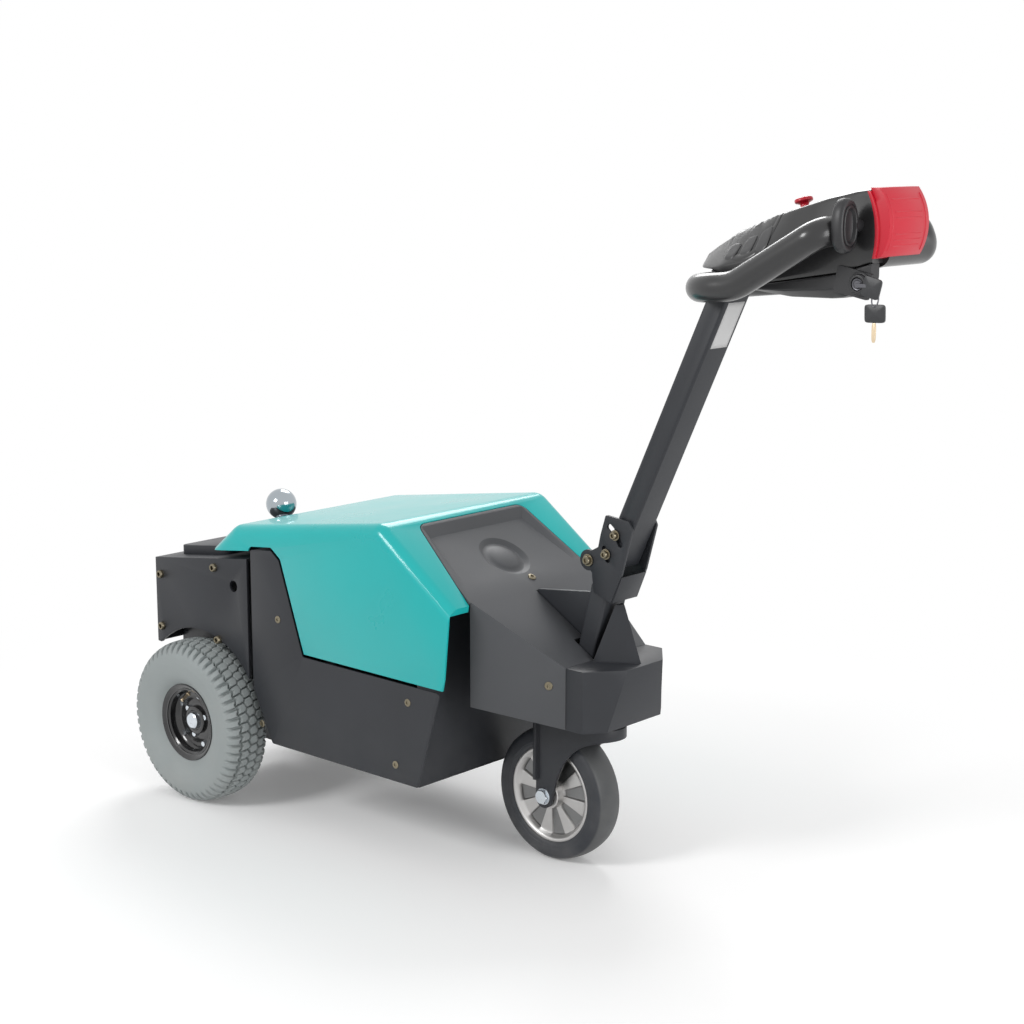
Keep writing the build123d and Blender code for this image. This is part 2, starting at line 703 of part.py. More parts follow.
def make_front_shell():
    """Moulded shell: bevelled recess in the cover's opening that runs on as the tapering nose."""
    slope_run = run_length(COVER_PEAK, COVER_BROW)
    foot = slope_run - SHELL_FOOT_GAP
    beyond = slope_run + OPENING_BEYOND
    top = OPENING_TOP + SHELL_GAP
    rim_top = top + SHELL_LIP
    floor_top = rim_top + SHELL_BEVEL
    with BuildPart() as shell:
        with BuildSketch(slope_plane(SHELL_BLOCK)) as body:
            with BuildLine():
                Polyline(*trapezoid(top, foot, SHELL_GAP), close=True)
            make_face()
            fillet(body.vertices().sort_by(Axis.X)[:2], OPENING_ROUND - SHELL_GAP)
        extrude(amount=SHELL_BLOCK)
        split(bisect_by=shell_plane(SHELL_WALL), keep=Keep.TOP)
        rim = trapezoid(rim_top, beyond, SHELL_GAP + SHELL_LIP)
        inset = SHELL_GAP + SHELL_LIP + SHELL_BEVEL
        floor = [floor_corner(s, y) for s, y in trapezoid(floor_top, beyond, inset)]
        with BuildSketch(shell_plane()):
            with BuildLine():
                Polyline(*floor, close=True)
            make_face()
        with BuildSketch(slope_plane(-0.5)):
            with BuildLine():
                Polyline(*rim, close=True)
            make_face()
        loft(mode=Mode.SUBTRACT)
        sheet = [floor_corner(s, y) for s, y in trapezoid(rim_top, slope_run, SHELL_GAP)]
        with BuildSketch(shell_plane()):
            with BuildLine():
                Polyline(*sheet, close=True)
            make_face()
        extrude(amount=-SHELL_WALL)
        add(nose_hull())
        frame_top = NOSE_BOTTOM + FRAME_HEIGHT
        rib_top = shell_height(SHELL_RIB_X) - 0.7 * SHELL_WALL
        with BuildSketch(across(SHELL_RIB_X)):
            with Locations((0, (frame_top + rib_top) / 2)):
                Rectangle(2 * (FRAME_HALF + 10.0), rib_top - frame_top)
        extrude(amount=-SHELL_WALL)
        with BuildSketch(shell_plane(-1.0)):
            with BuildLine():
                Polyline(*slot_outline(), close=True)
            make_face()
        extrude(amount=-3 * SHELL_WALL, mode=Mode.SUBTRACT)
        with BuildSketch(across(SHELL_RIB_X)):
            with Locations((0, rib_top)):
                Rectangle(GUSSET + 2 * POST_SLOT_GAP, 2 * (rib_top - GUSSET_FOOT))
        extrude(amount=-2 * SHELL_WALL, both=True, mode=Mode.SUBTRACT)
        with BuildSketch(falling_plane(dent_centre(), radians(SHELL_RISE)).offset(-SHELL_WALL / 2)):
            Circle(DENT_R)
        extrude(amount=SHELL_WALL / 2 - SHELL_WALL - DENT_DEPTH)
        with BuildSketch(dent_section()):
            with BuildLine():
                Polyline(
                    (0, -DENT_ISLAND[1]), (DENT_ISLAND[0], -DENT_ISLAND[1]), (DENT_GROOVE[1], -DENT_DEPTH),
                    (DENT_GROOVE[0], -DENT_DEPTH), (DENT_R, 0), (DENT_R, SHELL_WALL), (0, SHELL_WALL),
                    close=True,
                )
            make_face()
        revolve(axis=Axis(dent_section().origin, dent_section().y_dir), mode=Mode.SUBTRACT)
    save(shell, "front_shell")


def dent_centre():
    """Centre of the round dent on the shell's panel."""
    x = COVER_PEAK[0] + DENT_DOWN * cos(slope_fall())
    return (x, shell_height(x))


def dent_section():
    """Upright plane through the dent's centre: local x runs down the panel and local y along its normal."""
    panel = falling_plane(dent_centre(), radians(SHELL_RISE))
    return Plane(origin=panel.origin, x_dir=panel.x_dir, z_dir=(0, -1, 0))


def slot_outline():
    """Keyhole slot of the shell's panel: narrow for the gusset and wide for the post."""
    slope = cos(radians(SHELL_RISE))
    narrow = GUSSET / 2 + POST_SLOT_GAP
    wide = POST_HALF + POST_SLOT_GAP
    start = (GUSSET_REAR - POST_SLOT_GAP - SHELL_FRONT[0]) / slope
    neck = (post_rear(SHELL_FRONT[1]) - POST_SLOT_GAP - SHELL_FRONT[0]) / slope
    end = (post_rear(SHELL_FRONT[1]) + POST_DEPTH + 3 * POST_SLOT_GAP - SHELL_FRONT[0]) / slope
    return ((start, -narrow), (neck, -narrow), (neck, -wide), (end, -wide), (end, wide), (neck, wide),
            (neck, narrow), (start, narrow))


def make_nose_frame():
    """Folded channel from the bulkhead to the nose that carries the castor, the post and the shell."""
    flange_rear = SHELL_FRONT[0] + NOSE_SEAM
    reach = FRAME_FRONT - BULKHEAD_X
    with BuildPart() as frame:
        with BuildSketch(level(NOSE_BOTTOM)):
            with Locations((BULKHEAD_X + reach / 2, 0)):
                Rectangle(reach, 2 * FRAME_HALF)
            with Locations(((flange_rear + NOSE_CHEEK_X - 2.0) / 2, 0)):
                Rectangle(NOSE_CHEEK_X - 2.0 - flange_rear, 2 * (NOSE_HALF - SHEET))
        extrude(amount=FRAME_PLATE)
        for _, sign in SIDES:
            with BuildSketch(side(sign * (FRAME_HALF - SHEET / 2))):
                with Locations((BULKHEAD_X + reach / 2, NOSE_BOTTOM + FRAME_HEIGHT / 2)):
                    Rectangle(reach, FRAME_HEIGHT)
            extrude(amount=SHEET / 2, both=True)
    save(frame, "nose_frame")


def nose_ring(inset, z):
    """Outline of the nose's front end at one height, narrowing downwards."""
    fall = (SHELL_FRONT[1] - z) / (SHELL_FRONT[1] - NOSE_BOTTOM)
    tip_x = NOSE_TIP[0] + (NOSE_TIP_BELOW[0] - NOSE_TIP[0]) * fall - inset
    tip_half = NOSE_TIP[1] + (NOSE_TIP_BELOW[1] - NOSE_TIP[1]) * fall - 0.4 * inset
    cheek_x = NOSE_CHEEK_X - 0.4 * inset
    half = NOSE_HALF - inset
    back = SHELL_FRONT[0] + NOSE_SEAM
    near = ((back, -half), (cheek_x, -half), (tip_x, -tip_half))
    return near + ((tip_x, tip_half), (cheek_x, half), (back, half))


def make_nose_front():
    """Folded front end of the nose with two cheeks and a raked front plate."""
    with BuildPart() as front:
        for z in (NOSE_BOTTOM, SHELL_FRONT[1]):
            with BuildSketch(level(z)):
                with BuildLine():
                    Polyline(*nose_ring(0, z), close=True)
                make_face()
        loft()
        for z in (NOSE_BOTTOM - 1.0, SHELL_FRONT[1] - SHEET):
            with BuildSketch(level(z)):
                with BuildLine():
                    Polyline(*nose_ring(SHEET, z), close=True)
                make_face()
        loft(mode=Mode.SUBTRACT)
    save(front, "nose_front")


def make_castor_plate():
    """Plate under the nose frame with the castor's bearing race."""
    with BuildPart() as base:
        with BuildSketch(level(PLATE_BOTTOM)):
            with Locations((SWIVEL_X, 0)):
                Rectangle(CASTOR_PLATE[0], CASTOR_PLATE[0])
        extrude(amount=CASTOR_PLATE[1])
        with BuildSketch(level(PLATE_BOTTOM)):
            with Locations((SWIVEL_X, 0)):
                Circle(RACE_R)
        extrude(amount=-RACE)
        with BuildSketch(level(PLATE_BOTTOM - RACE)):
            with Locations((SWIVEL_X, 0)):
                Circle(KINGPIN_R + RUNNING_CLEARANCE)
        extrude(amount=RACE + CASTOR_PLATE[1], mode=Mode.SUBTRACT)
    save(base, "castor_plate")


def leg_outline():
    """Side outline of a castor leg: upright behind, swept down from the crown's front to the axle."""
    axle_x = SWIVEL_X - CASTOR_TRAIL
    rear = axle_x - LEG_FOOT_R
    front = SWIVEL_X + CROWN_FRONT
    lip = (front, CROWN_BOTTOM - 12.0)
    waist = (axle_x + LEG_FOOT_R + 9.0, CASTOR_R + 32.0)
    foot = (axle_x + LEG_FOOT_R - 1.0, CASTOR_R - 4.0)
    with BuildLine() as edge:
        Polyline((rear, CASTOR_R - 4.0), (rear, CROWN_TOP), (front, CROWN_TOP), lip)
        ThreePointArc(lip, (axle_x + 56.0, CASTOR_R + 78.0), waist)
        Line(waist, foot)
        ThreePointArc(foot, (axle_x, CASTOR_R - LEG_FOOT_R - 3.0), (rear, CASTOR_R - 4.0))
    return edge.line


def round_nosed(half):
    """Plan of the pressed fork at one half width: straight sides with a half-round front."""
    rear = SWIVEL_X - CASTOR_TRAIL - LEG_FOOT_R - LEG
    middle = SWIVEL_X + CROWN_FRONT - LEG_GAP - LEG
    with BuildSketch(level(0)) as plan:
        with Locations(((rear + middle) / 2, 0)):
            Rectangle(middle - rear, 2 * half)
        with Locations((middle, 0)):
            Circle(half)
    return plan.sketch


def make_castor_fork():
    """Castor fork: round-nosed pressing with a crown under the race, kingpin and two flanged legs."""
    axle_x = SWIVEL_X - CASTOR_TRAIL
    rear = axle_x - LEG_FOOT_R
    outline = leg_outline()
    with BuildPart() as fork:
        with BuildSketch(side()):
            add(outline)
            make_face()
        extrude(amount=LEG_GAP + LEG, both=True)
        extrude(round_nosed(LEG_GAP + LEG), amount=CROWN_TOP, mode=Mode.INTERSECT)
        extrude(round_nosed(LEG_GAP), amount=CROWN_BOTTOM, mode=Mode.SUBTRACT)
        for _, sign in SIDES:
            with BuildSketch(side(sign * (LEG_GAP + LEG))):
                with Locations((rear + LEG / 2, (CASTOR_R + 24.0 + CROWN_TOP) / 2)):
                    Rectangle(LEG, CROWN_TOP - CASTOR_R - 24.0)
            extrude(amount=-sign * LEG_FLANGE)
        with BuildSketch(level(CROWN_TOP)):
            with Locations((SWIVEL_X, 0)):
                Circle(KINGPIN_R)
        extrude(amount=PLATE_BOTTOM + CASTOR_PLATE[1] - RACE_GAP - CROWN_TOP)
        with BuildSketch(side()):
            with Locations((axle_x, CASTOR_R)):
                Circle(CASTOR_BORE_R)
        extrude(amount=LEG_GAP + 2 * LEG, both=True, mode=Mode.SUBTRACT)
    save(fork, "castor_fork")


def make_castor_axle():
    """Castor axle bolt with a hexagonal head and nut outside the legs."""
    axle_x = SWIVEL_X - CASTOR_TRAIL
    end = LEG_GAP + LEG
    with BuildPart() as axle:
        with BuildSketch(side()):
            with Locations((axle_x, CASTOR_R)):
                Circle(CASTOR_BORE_R)
        extrude(amount=end, both=True)
        for _, sign in SIDES:
            with BuildSketch(side(sign * end)):
                with Locations((axle_x, CASTOR_R)):
                    RegularPolygon(CASTOR_NUT_R, 6)
            extrude(amount=-sign * CASTOR_NUT)
    save(axle, "castor_axle")


def castor_axis():
    """Axis of the castor wheel."""
    return Axis((AXLE_X + SWIVEL_X - CASTOR_TRAIL, 0, CASTOR_R), (0, 1, 0))


def castor_section():
    """Plane through the castor wheel's axis: local x is the machine's +Y and local y the radius."""
    return Plane(origin=castor_axis().position, x_dir=(0, 1, 0), z_dir=(1, 0, 0))


def make_castor_rim():
    """Cast rim: barrel, web and a hub that runs on the axle."""
    half = CASTOR_WIDTH / 2 - 3.0
    seat = CASTOR_R - CASTOR_TREAD
    web = CASTOR_WEB / 2
    bore = CASTOR_BORE_R + RUNNING_CLEARANCE
    with BuildPart() as rim:
        with BuildSketch(castor_section()):
            with BuildLine():
                Polyline(
                    (-CASTOR_HUB_HALF, bore), (-CASTOR_HUB_HALF, CASTOR_HUB_R), (-web, CASTOR_HUB_R + 6),
                    (-web, seat - 7), (-half, seat - 4), (-half, seat), (half, seat), (half, seat - 4),
                    (web, seat - 7), (web, CASTOR_HUB_R + 6), (CASTOR_HUB_HALF, CASTOR_HUB_R),
                    (CASTOR_HUB_HALF, bore), close=True,
                )
            make_face()
        revolve(axis=castor_axis())
        for _, sign in SIDES:
            with BuildSketch(side(sign * web)):
                with Locations((SWIVEL_X - CASTOR_TRAIL, CASTOR_R)):
                    with PolarLocations(0, CASTOR_POCKETS):
                        add(pocket_face())
            extrude(amount=sign * CASTOR_POCKET[2], mode=Mode.SUBTRACT)
    save(rim, "castor_rim")


def pocket_face():
    """One pocket of the castor rim's web: a piece of a ring between two spokes."""
    inner, outer, _ = CASTOR_POCKET
    half = pi / CASTOR_POCKETS
    corners = []
    for radius in (inner, outer):
        lean = half - CASTOR_SPOKE / 2 / radius
        corners.append((radius * cos(lean), radius * sin(lean)))
    (x0, y0), (x1, y1) = corners
    with BuildSketch(mode=Mode.PRIVATE) as pocket:
        with BuildLine():
            Polyline((x1, -y1), (x0, -y0), (x0, y0), (x1, y1))
            ThreePointArc((x1, y1), (outer, 0), (x1, -y1))
        make_face()
    return pocket.sketch


def make_castor_tyre():
    """Solid rubber tyre with a crowned tread."""
    half = CASTOR_WIDTH / 2
    seat = CASTOR_R - CASTOR_TREAD
    crown = CASTOR_R - 3
    with BuildPart() as tyre:
        with BuildSketch(castor_section()):
            with BuildLine():
                Polyline(
                    (half - 4, crown), (half, crown - 7), (half, seat + 4), (half - 3, seat),
                    (3 - half, seat), (-half, seat + 4), (-half, crown - 7), (4 - half, crown),
                )
                ThreePointArc((4 - half, crown), (0, CASTOR_R), (half - 4, crown))
            make_face()
        revolve(axis=castor_axis())
    save(tyre, "castor_tyre")


def tube_section(plane, depth, half):
    """Rounded rectangle of a square tube on its own plane."""
    with BuildSketch(plane) as section:
        RectangleRounded(depth, 2 * half, 4.0)
        RectangleRounded(depth - 2 * TUBE_WALL, 2 * (half - TUBE_WALL), 1.5, mode=Mode.SUBTRACT)
    return section.sketch


def make_lower_post():
    """Leaning square tube that stands on the nose frame and passes through the shell."""
    with BuildPart() as post:
        section = tube_section(along_line(POST_FOOT, POST_HEAD), POST_DEPTH, POST_HALF)
        extrude(section, amount=run_length(POST_FOOT, POST_HEAD))
        extrude(section, amount=-POST_DEPTH)
        split(bisect_by=level(NOSE_BOTTOM + FRAME_PLATE), keep=Keep.TOP)
    save(post, "lower_post")


def make_post_gusset():
    """Triangular plate behind the post, through the shell's slot."""
    rear = shell_height(GUSSET_REAR)
    outline = (
        (GUSSET_REAR, rear - SHELL_WALL), (GUSSET_REAR, rear + GUSSET_TIP),
        (post_rear(GUSSET_TOP), GUSSET_TOP), (post_rear(GUSSET_FOOT), GUSSET_FOOT),
    )
    with BuildPart() as gusset:
        plate(outline, 0, GUSSET)
    save(gusset, "post_gusset")


def brace_outline(inset, z):
    """Triangle across the folded brace at one height, from its open back to the ridge."""
    share = (z - SHELL_FRONT[1]) / (BRACE_TOP - SHELL_FRONT[1])
    back = BRACE_FOOT_X[0] + (BRACE_HEAD_X[0] - BRACE_FOOT_X[0]) * share
    ridge = BRACE_FOOT_X[1] + (BRACE_HEAD_X[1] - BRACE_FOOT_X[1]) * share
    half = BRACE_HALF_FOOT + (BRACE_HALF_HEAD - BRACE_HALF_FOOT) * share
    return ((back - inset, -half + inset), (ridge - 1.4 * inset, 0), (back - inset, half - inset))


def make_post_brace():
    """Folded brace in front of the post: two sloping sheets that meet in a ridge, open behind."""
    with BuildPart() as brace:
        for z in (SHELL_FRONT[1], BRACE_TOP):
            with BuildSketch(level(z)):
                with BuildLine():
                    Polyline(*brace_outline(0, z), close=True)
                make_face()
        loft()
        for z in (SHELL_FRONT[1], BRACE_TOP - SHEET):
            with BuildSketch(level(z)):
                with BuildLine():
                    Polyline(*brace_outline(SHEET, z), close=True)
                make_face()
        loft(mode=Mode.SUBTRACT)
    save(brace, "post_brace")


def arc_slot(bolt):
    """Arc slot about the pivot that lets a clamp bolt swing through the tilt range."""
    reach = run_length(PIVOT, bolt)
    start = degrees(atan2(bolt[1] - PIVOT[1], bolt[0] - PIVOT[0])) - SLOT_REACH
    with BuildLine(mode=Mode.PRIVATE) as track:
        CenterArc(PIVOT, reach, start, 2 * SLOT_REACH)
    SlotArc(track.wire(), 2 * (CLAMP_R + SLOT_CLEARANCE))


def make_saddle():
    """Bent saddle on the post: two side plates with ears and arc slots, joined by a front band."""
    with BuildPart() as saddle:
        for _, sign in SIDES:
            mid = sign * (POST_HALF + SADDLE_PLATE / 2)
            bar(SADDLE, mid, SADDLE_PLATE, 3.0)
            with BuildSketch(side(mid)):
                with Locations(PIVOT):
                    Circle(SADDLE_EAR_R)
            extrude(amount=SADDLE_PLATE / 2, both=True)
        plate(SADDLE_BAND, 0, 2 * POST_HALF + SADDLE_PLATE)
        with BuildSketch(side()):
            with Locations(PIVOT):
                Circle(PIVOT_R + RUNNING_CLEARANCE)
            for bolt in CLAMP_BOLTS:
                arc_slot(bolt)
        extrude(amount=POST_HALF + 2 * SADDLE_PLATE, both=True, mode=Mode.SUBTRACT)
    save(saddle, "saddle")


def make_bolt_row(name, places, radius, head_r, half):
    """Through bolts across the saddle with a round head on each side."""
    with BuildPart() as bolts:
        with BuildSketch(side()):
            with Locations(*places):
                Circle(radius)
        extrude(amount=half, both=True)
        for _, sign in SIDES:
            with BuildSketch(side(sign * half)):
                with Locations(*places):
                    Circle(head_r)
            extrude(amount=-sign * BOLT_HEAD)
    save(bolts, name)


def make_tiller_tube(grip):
    """Long square tube of the tiller with two lugs that reach back to the pivot bolt."""
    lug = 4.0
    with BuildPart() as tube:
        section = tube_section(along_line(TUBE_FOOT, TUBE_HEAD), TUBE_DEPTH, TUBE_HALF)
        extrude(section, amount=run_length(TUBE_FOOT, TUBE_HEAD))
        for _, sign in SIDES:
            plate(TUBE_LUG, sign * (TUBE_HALF - lug / 2), lug)
        with BuildSketch(side()):
            with Locations(PIVOT):
                Circle(PIVOT_R + RUNNING_CLEARANCE)
            with Locations(*CLAMP_BOLTS):
                Circle(CLAMP_R)
        extrude(amount=POST_HALF + 5.0, both=True, mode=Mode.SUBTRACT)
        add(grip, mode=Mode.SUBTRACT)
    save(tube, "tiller_tube")


def make_grip():
    """Ring of thick tube round the tiller head."""
    points = [(AXLE_X + x, y, z) for x, y, z in GRIP_PATH]
    with BuildPart() as grip:
        with BuildLine() as path:
            FilletPolyline(*points, radius=GRIP_ROUNDS)
        with BuildSketch(Plane(origin=path.line @ 0, x_dir=(1, 0, 0), z_dir=(0, -1, 0))):
            Circle(GRIP_R)
        sweep(path=path.line)
    save(grip, "grip_ring")
    return grip.part


def upper_edge():
    """Side outline of the head's upper shell."""
    with BuildLine() as edge:
        Line(HEAD_ROOT, HEAD_BREAK)
        ThreePointArc(HEAD_BREAK, HEAD_CREST, HEAD_BROW)
        ThreePointArc(HEAD_BROW, HEAD_FACE, HEAD_CHIN)
        Polyline(HEAD_CHIN, *HEAD_SEAM, HEAD_ROOT)
    return edge.line


def lower_edge():
    """Side outline of the head's lower shell, a fit below the upper one."""
    drop = [(x, z - HEAD_FIT) for x, z in HEAD_SEAM]
    with BuildLine() as edge:
        Polyline(HEAD_BELLY[3], (HEAD_CHIN[0], HEAD_CHIN[1] - HEAD_FIT), *drop, HEAD_BELLY[0])
        ThreePointArc(HEAD_BELLY[0], HEAD_BELLY[1], HEAD_BELLY[2])
        Line(HEAD_BELLY[2], HEAD_BELLY[3])
    return edge.line


def head_shell(outline, half, heights, grip):
    """One shell of the tiller head, clear of the grip, with the long edges between two heights rounded."""
    low, high = heights
    with BuildPart() as shell:
        with BuildSketch(side()):
            add(outline)
            make_face()
        extrude(amount=half, both=True)
        edges = [edge for end in shell.faces().filter_by(Axis.Y) for edge in end.edges()]
        fillet([edge for edge in edges if low < edge.center().Z < high], HEAD_ROUND)
        add(grip, mode=Mode.SUBTRACT)
    return shell


def make_head(grip):
    """Upper and lower shells of the tiller head."""
    crown = (HEAD_CHIN[1] + 9.0, HEAD_BROW[1])
    save(head_shell(upper_edge(), HEAD_HALF, crown, grip), "head_upper")
    belly = (HEAD_BELLY[1][1] - 9.0, HEAD_BELLY[0][1])
    bottom = head_shell(lower_edge(), HEAD_HALF - 2.0, belly, grip)
    with BuildPart() as cut:
        add(bottom.part)
        with BuildSketch(along_line(TUBE_FOOT, TUBE_HEAD)):
            RectangleRounded(TUBE_DEPTH, 2 * TUBE_HALF, 4.0)
        extrude(amount=run_length(TUBE_FOOT, TUBE_HEAD), mode=Mode.SUBTRACT)
    save(cut, "head_lower")


def make_belly_switch(grip):
    """Curved pad across the end of the head with a flange behind it."""
    back_top = (HEAD_BROW[0] + PAD_GAP, HEAD_BROW[1] + 3.0)
    front_top = (HEAD_BROW[0] + 16.0, back_top[1])
    chin = (HEAD_CHIN[0] + PAD_GAP, HEAD_CHIN[1] + 6.0)
    lip = (chin[0] + 8.0, chin[1] + 2.0)
    bulge = (HEAD_FACE[0] + PAD_BULGE, HEAD_FACE[1] + 4.0)
    flange_top = (HEAD_BROW[0] + 1.0, HEAD_BROW[1] - 1.0)
    flange_edge = (flange_top[0] + 4.0, flange_top[1])
    flange_chin = (HEAD_CHIN[0] + 5.0, chin[1])
    with BuildPart() as pad:
        with BuildSketch(side()):
            with BuildLine():
                ThreePointArc(back_top, (HEAD_FACE[0] + PAD_GAP, HEAD_FACE[1]), chin)
                Line(chin, lip)
                ThreePointArc(lip, bulge, front_top)
                Line(front_top, back_top)
            make_face()
        extrude(amount=PAD_HALF, both=True)
        with BuildSketch(side()):
            with BuildLine():
                ThreePointArc(flange_top, HEAD_FACE, (HEAD_CHIN[0], chin[1]))
                Line((HEAD_CHIN[0], chin[1]), flange_chin)
                ThreePointArc(flange_chin, (HEAD_FACE[0] + PAD_FLANGE, HEAD_FACE[1]), flange_edge)
                Line(flange_edge, flange_top)
            make_face()
        extrude(amount=PAD_FLANGE_HALF, both=True)
        add(grip, mode=Mode.SUBTRACT)
        add(upper_block(), mode=Mode.SUBTRACT)
    save(pad, "belly_switch")


def upper_block():
    """Plain block of the head's upper shell, for cutting what seats on it."""
    with BuildPart() as block:
        with BuildSketch(side()):
            add(upper_edge())
            make_face()
        extrude(amount=PAD_FLANGE_HALF + 1.0, both=True)
    return block.part


def make_keypad():
    """Oval panel with three raised buttons on the straight part of the head's top."""
    rise = atan2(HEAD_BREAK[1] - HEAD_ROOT[1], HEAD_BREAK[0] - HEAD_ROOT[0])
    height = HEAD_ROOT[1] + (KEYPAD_X - HEAD_ROOT[0]) * tan(rise)
    seat = falling_plane((KEYPAD_X, height), -rise)
    with BuildPart() as panel:
        with BuildSketch(seat):
            Ellipse(KEYPAD[0] / 2, KEYPAD[1] / 2)
        extrude(amount=KEYPAD_PLATE)
        with BuildSketch(seat.offset(KEYPAD_PLATE)):
            with GridLocations(KEYPAD_PITCH, 0, 3, 1):
                RectangleRounded(KEYPAD_BUTTON[0], KEYPAD_BUTTON[1], 5.0)
        extrude(amount=KEYPAD_BUTTON_LIFT)
    save(panel, "keypad")


def crest_circle():
    """Centre and radius of the arc along the head's top."""
    (x1, z1), (x2, z2), (x3, z3) = HEAD_BREAK, HEAD_CREST, HEAD_BROW
    det = 2 * (x1 * (z2 - z3) + x2 * (z3 - z1) + x3 * (z1 - z2))
    a, b, c = x1 * x1 + z1 * z1, x2 * x2 + z2 * z2, x3 * x3 + z3 * z3
    cx = (a * (z2 - z3) + b * (z3 - z1) + c * (z1 - z2)) / det
    cz = (a * (x3 - x2) + b * (x1 - x3) + c * (x2 - x1)) / det
    return cx, cz, hypot(x1 - cx, z1 - cz)


def make_stop_knob():
    """Mushroom knob whose stem stands on the arc of the head's top."""
    cx, cz, radius = crest_circle()
    lean = atan2(KNOB_X - cx, (radius ** 2 - (KNOB_X - cx) ** 2) ** 0.5)
    seat = falling_plane((cx + radius * sin(lean), cz + radius * cos(lean)), lean)
    with BuildPart() as knob:
        with BuildSketch(seat):
            with Locations((0, KNOB_Y)):
                Circle(KNOB_STEM[0])
        extrude(amount=KNOB_STEM[1])
        with BuildSketch(seat.offset(KNOB_STEM[1])):
            with Locations((0, KNOB_Y)):
                Circle(KNOB_CAP[0])
        extrude(amount=KNOB_CAP[1])
    save(knob, "stop_knob")


def make_throttle(name, sign, width, height, half):
    """Thumb paddle beside the head with an oval dish that faces the operator, on its own stub."""
    inner = HEAD_HALF + THROTTLE_GAP
    face = across(THROTTLE_X)
    middle = (sign * (inner + width / 2), height)
    with BuildPart() as paddle:
        with BuildSketch(face):
            with Locations(middle):
                RectangleRounded(width, 2 * half, 0.45 * width)
        extrude(amount=THROTTLE_PLATE)
        with BuildSketch(across(THROTTLE_X + THROTTLE_PLATE)):
            with Locations(middle):
                Ellipse(0.28 * width, 0.55 * half)
        extrude(amount=-THROTTLE_DISH, mode=Mode.SUBTRACT)
        with BuildSketch(side(sign * HEAD_HALF)):
            with Locations((THROTTLE_X + THROTTLE_PLATE / 2, height)):
                Circle(THROTTLE_STUB_R)
        extrude(amount=-sign * (THROTTLE_GAP + 2.0))
    save(paddle, f"throttle_{name}")


def make_key_switch():
    """Panel on the lower shell's side with the key lock."""
    face = HEAD_HALF - 2.0
    with BuildPart() as lock:
        with BuildSketch(side(-face)):
            with Locations(Location((LOCK[0], LOCK[1] + 4.0), LOCK_PANEL_TILT)):
                Rectangle(LOCK_PANEL[0], LOCK_PANEL[1])
        extrude(amount=LOCK_PANEL[2])
        with BuildSketch(side(-face - LOCK_PANEL[2])):
            with Locations(LOCK):
                Circle(LOCK_R)
        extrude(amount=LOCK_LENGTH)
        add(upper_block(), mode=Mode.SUBTRACT)
    save(lock, "key_switch")


def make_keys():
    """Key in the lock, its ring and the spare key that hangs from it."""
    y = -(HEAD_HALF - 2.0 + LOCK_PANEL[2] + LOCK_LENGTH)
    bow_x = LOCK[0] + LOCK_R + KEY_BOW[0] / 2 - 3.0
    low = LOCK[1] - KEY_BOW[1] / 2 - 2 * KEY_RING_R - KEY_BOW[1] / 2 + 8.0
    with BuildPart() as keys:
        with BuildSketch(side(y)):
            with Locations(LOCK):
                Circle(4.0)
            with Locations((bow_x, LOCK[1])):
                RectangleRounded(KEY_BOW[0] + 12.0, KEY_BOW[1], 3.0)
        extrude(amount=KEY_BOW[2])
        with BuildSketch(side(y)):
            with Locations((bow_x + 8.0, low)):
                RectangleRounded(KEY_BOW[0], KEY_BOW[1], 3.0)
            with Locations((bow_x + 8.0, low - KEY_BOW[1] / 2 - KEY_BLADE[1] / 2)):
                Rectangle(KEY_BLADE[0], KEY_BLADE[1] + 1.0)
        extrude(amount=KEY_BOW[2])
        with BuildSketch(side(y)):
            with Locations((bow_x + 6.0, (LOCK[1] + low) / 2)):
                Ellipse(KEY_RING_R * 0.7, KEY_RING_R)
                Ellipse(KEY_RING_R * 0.7 - 2 * KEY_WIRE_R, KEY_RING_R - 2 * KEY_WIRE_R, mode=Mode.SUBTRACT)
        extrude(amount=KEY_BOW[2])
    save(keys, "keys")


def main():
    """Build every piece and write it."""
    os.makedirs("parts", exist_ok=True)
    for name, sign in SIDES:
        make_tyre(name, sign)
        make_rim(name, sign)
        make_hub(name, sign)
        make_rear_side(name, sign)
        make_side_panel(name, sign)
    make_drive_unit()
    make_rear_wall()
    make_rear_deck()
    make_hitch_plate()
    make_tow_ball()
    make_chassis_tray()
    make_bulkhead()
    make_battery()
    make_cover()
    make_front_shell()
    make_nose_frame()
    make_nose_front()
    make_castor_plate()
    make_castor_fork()
    make_castor_axle()
    make_castor_rim()
    make_castor_tyre()
    make_lower_post()
    make_post_gusset()
    make_post_brace()
    make_saddle()
    outer = POST_HALF + SADDLE_PLATE
    make_bolt_row("pivot_bolt", (PIVOT,), PIVOT_R, PIVOT_HEAD_R, outer)
    make_bolt_row("clamp_bolts", CLAMP_BOLTS, CLAMP_R, CLAMP_HEAD_R, outer + SADDLE_GAP)
    grip = make_grip()
    make_tiller_tube(grip)
    make_head(grip)
    make_belly_switch(grip)
    make_keypad()
    make_stop_knob()
    for throttle in THROTTLES:
        make_throttle(*throttle)
    make_key_switch()
    make_keys()


if __name__ == "__main__":
    main()
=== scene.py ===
"""Looks of a walk-behind electric tow tractor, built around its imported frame.

Lengths are in metres, in the machine's own frame: +X points from the tow ball to the tiller,
+Y is the machine's left side and +Z is up. Tables, profiles and places given "ahead of the
axle" are in millimetres, and that axle is the drive wheels'.
"""

import json
import logging
import math
from collections.abc import Callable
from dataclasses import dataclass, field
from enum import Enum

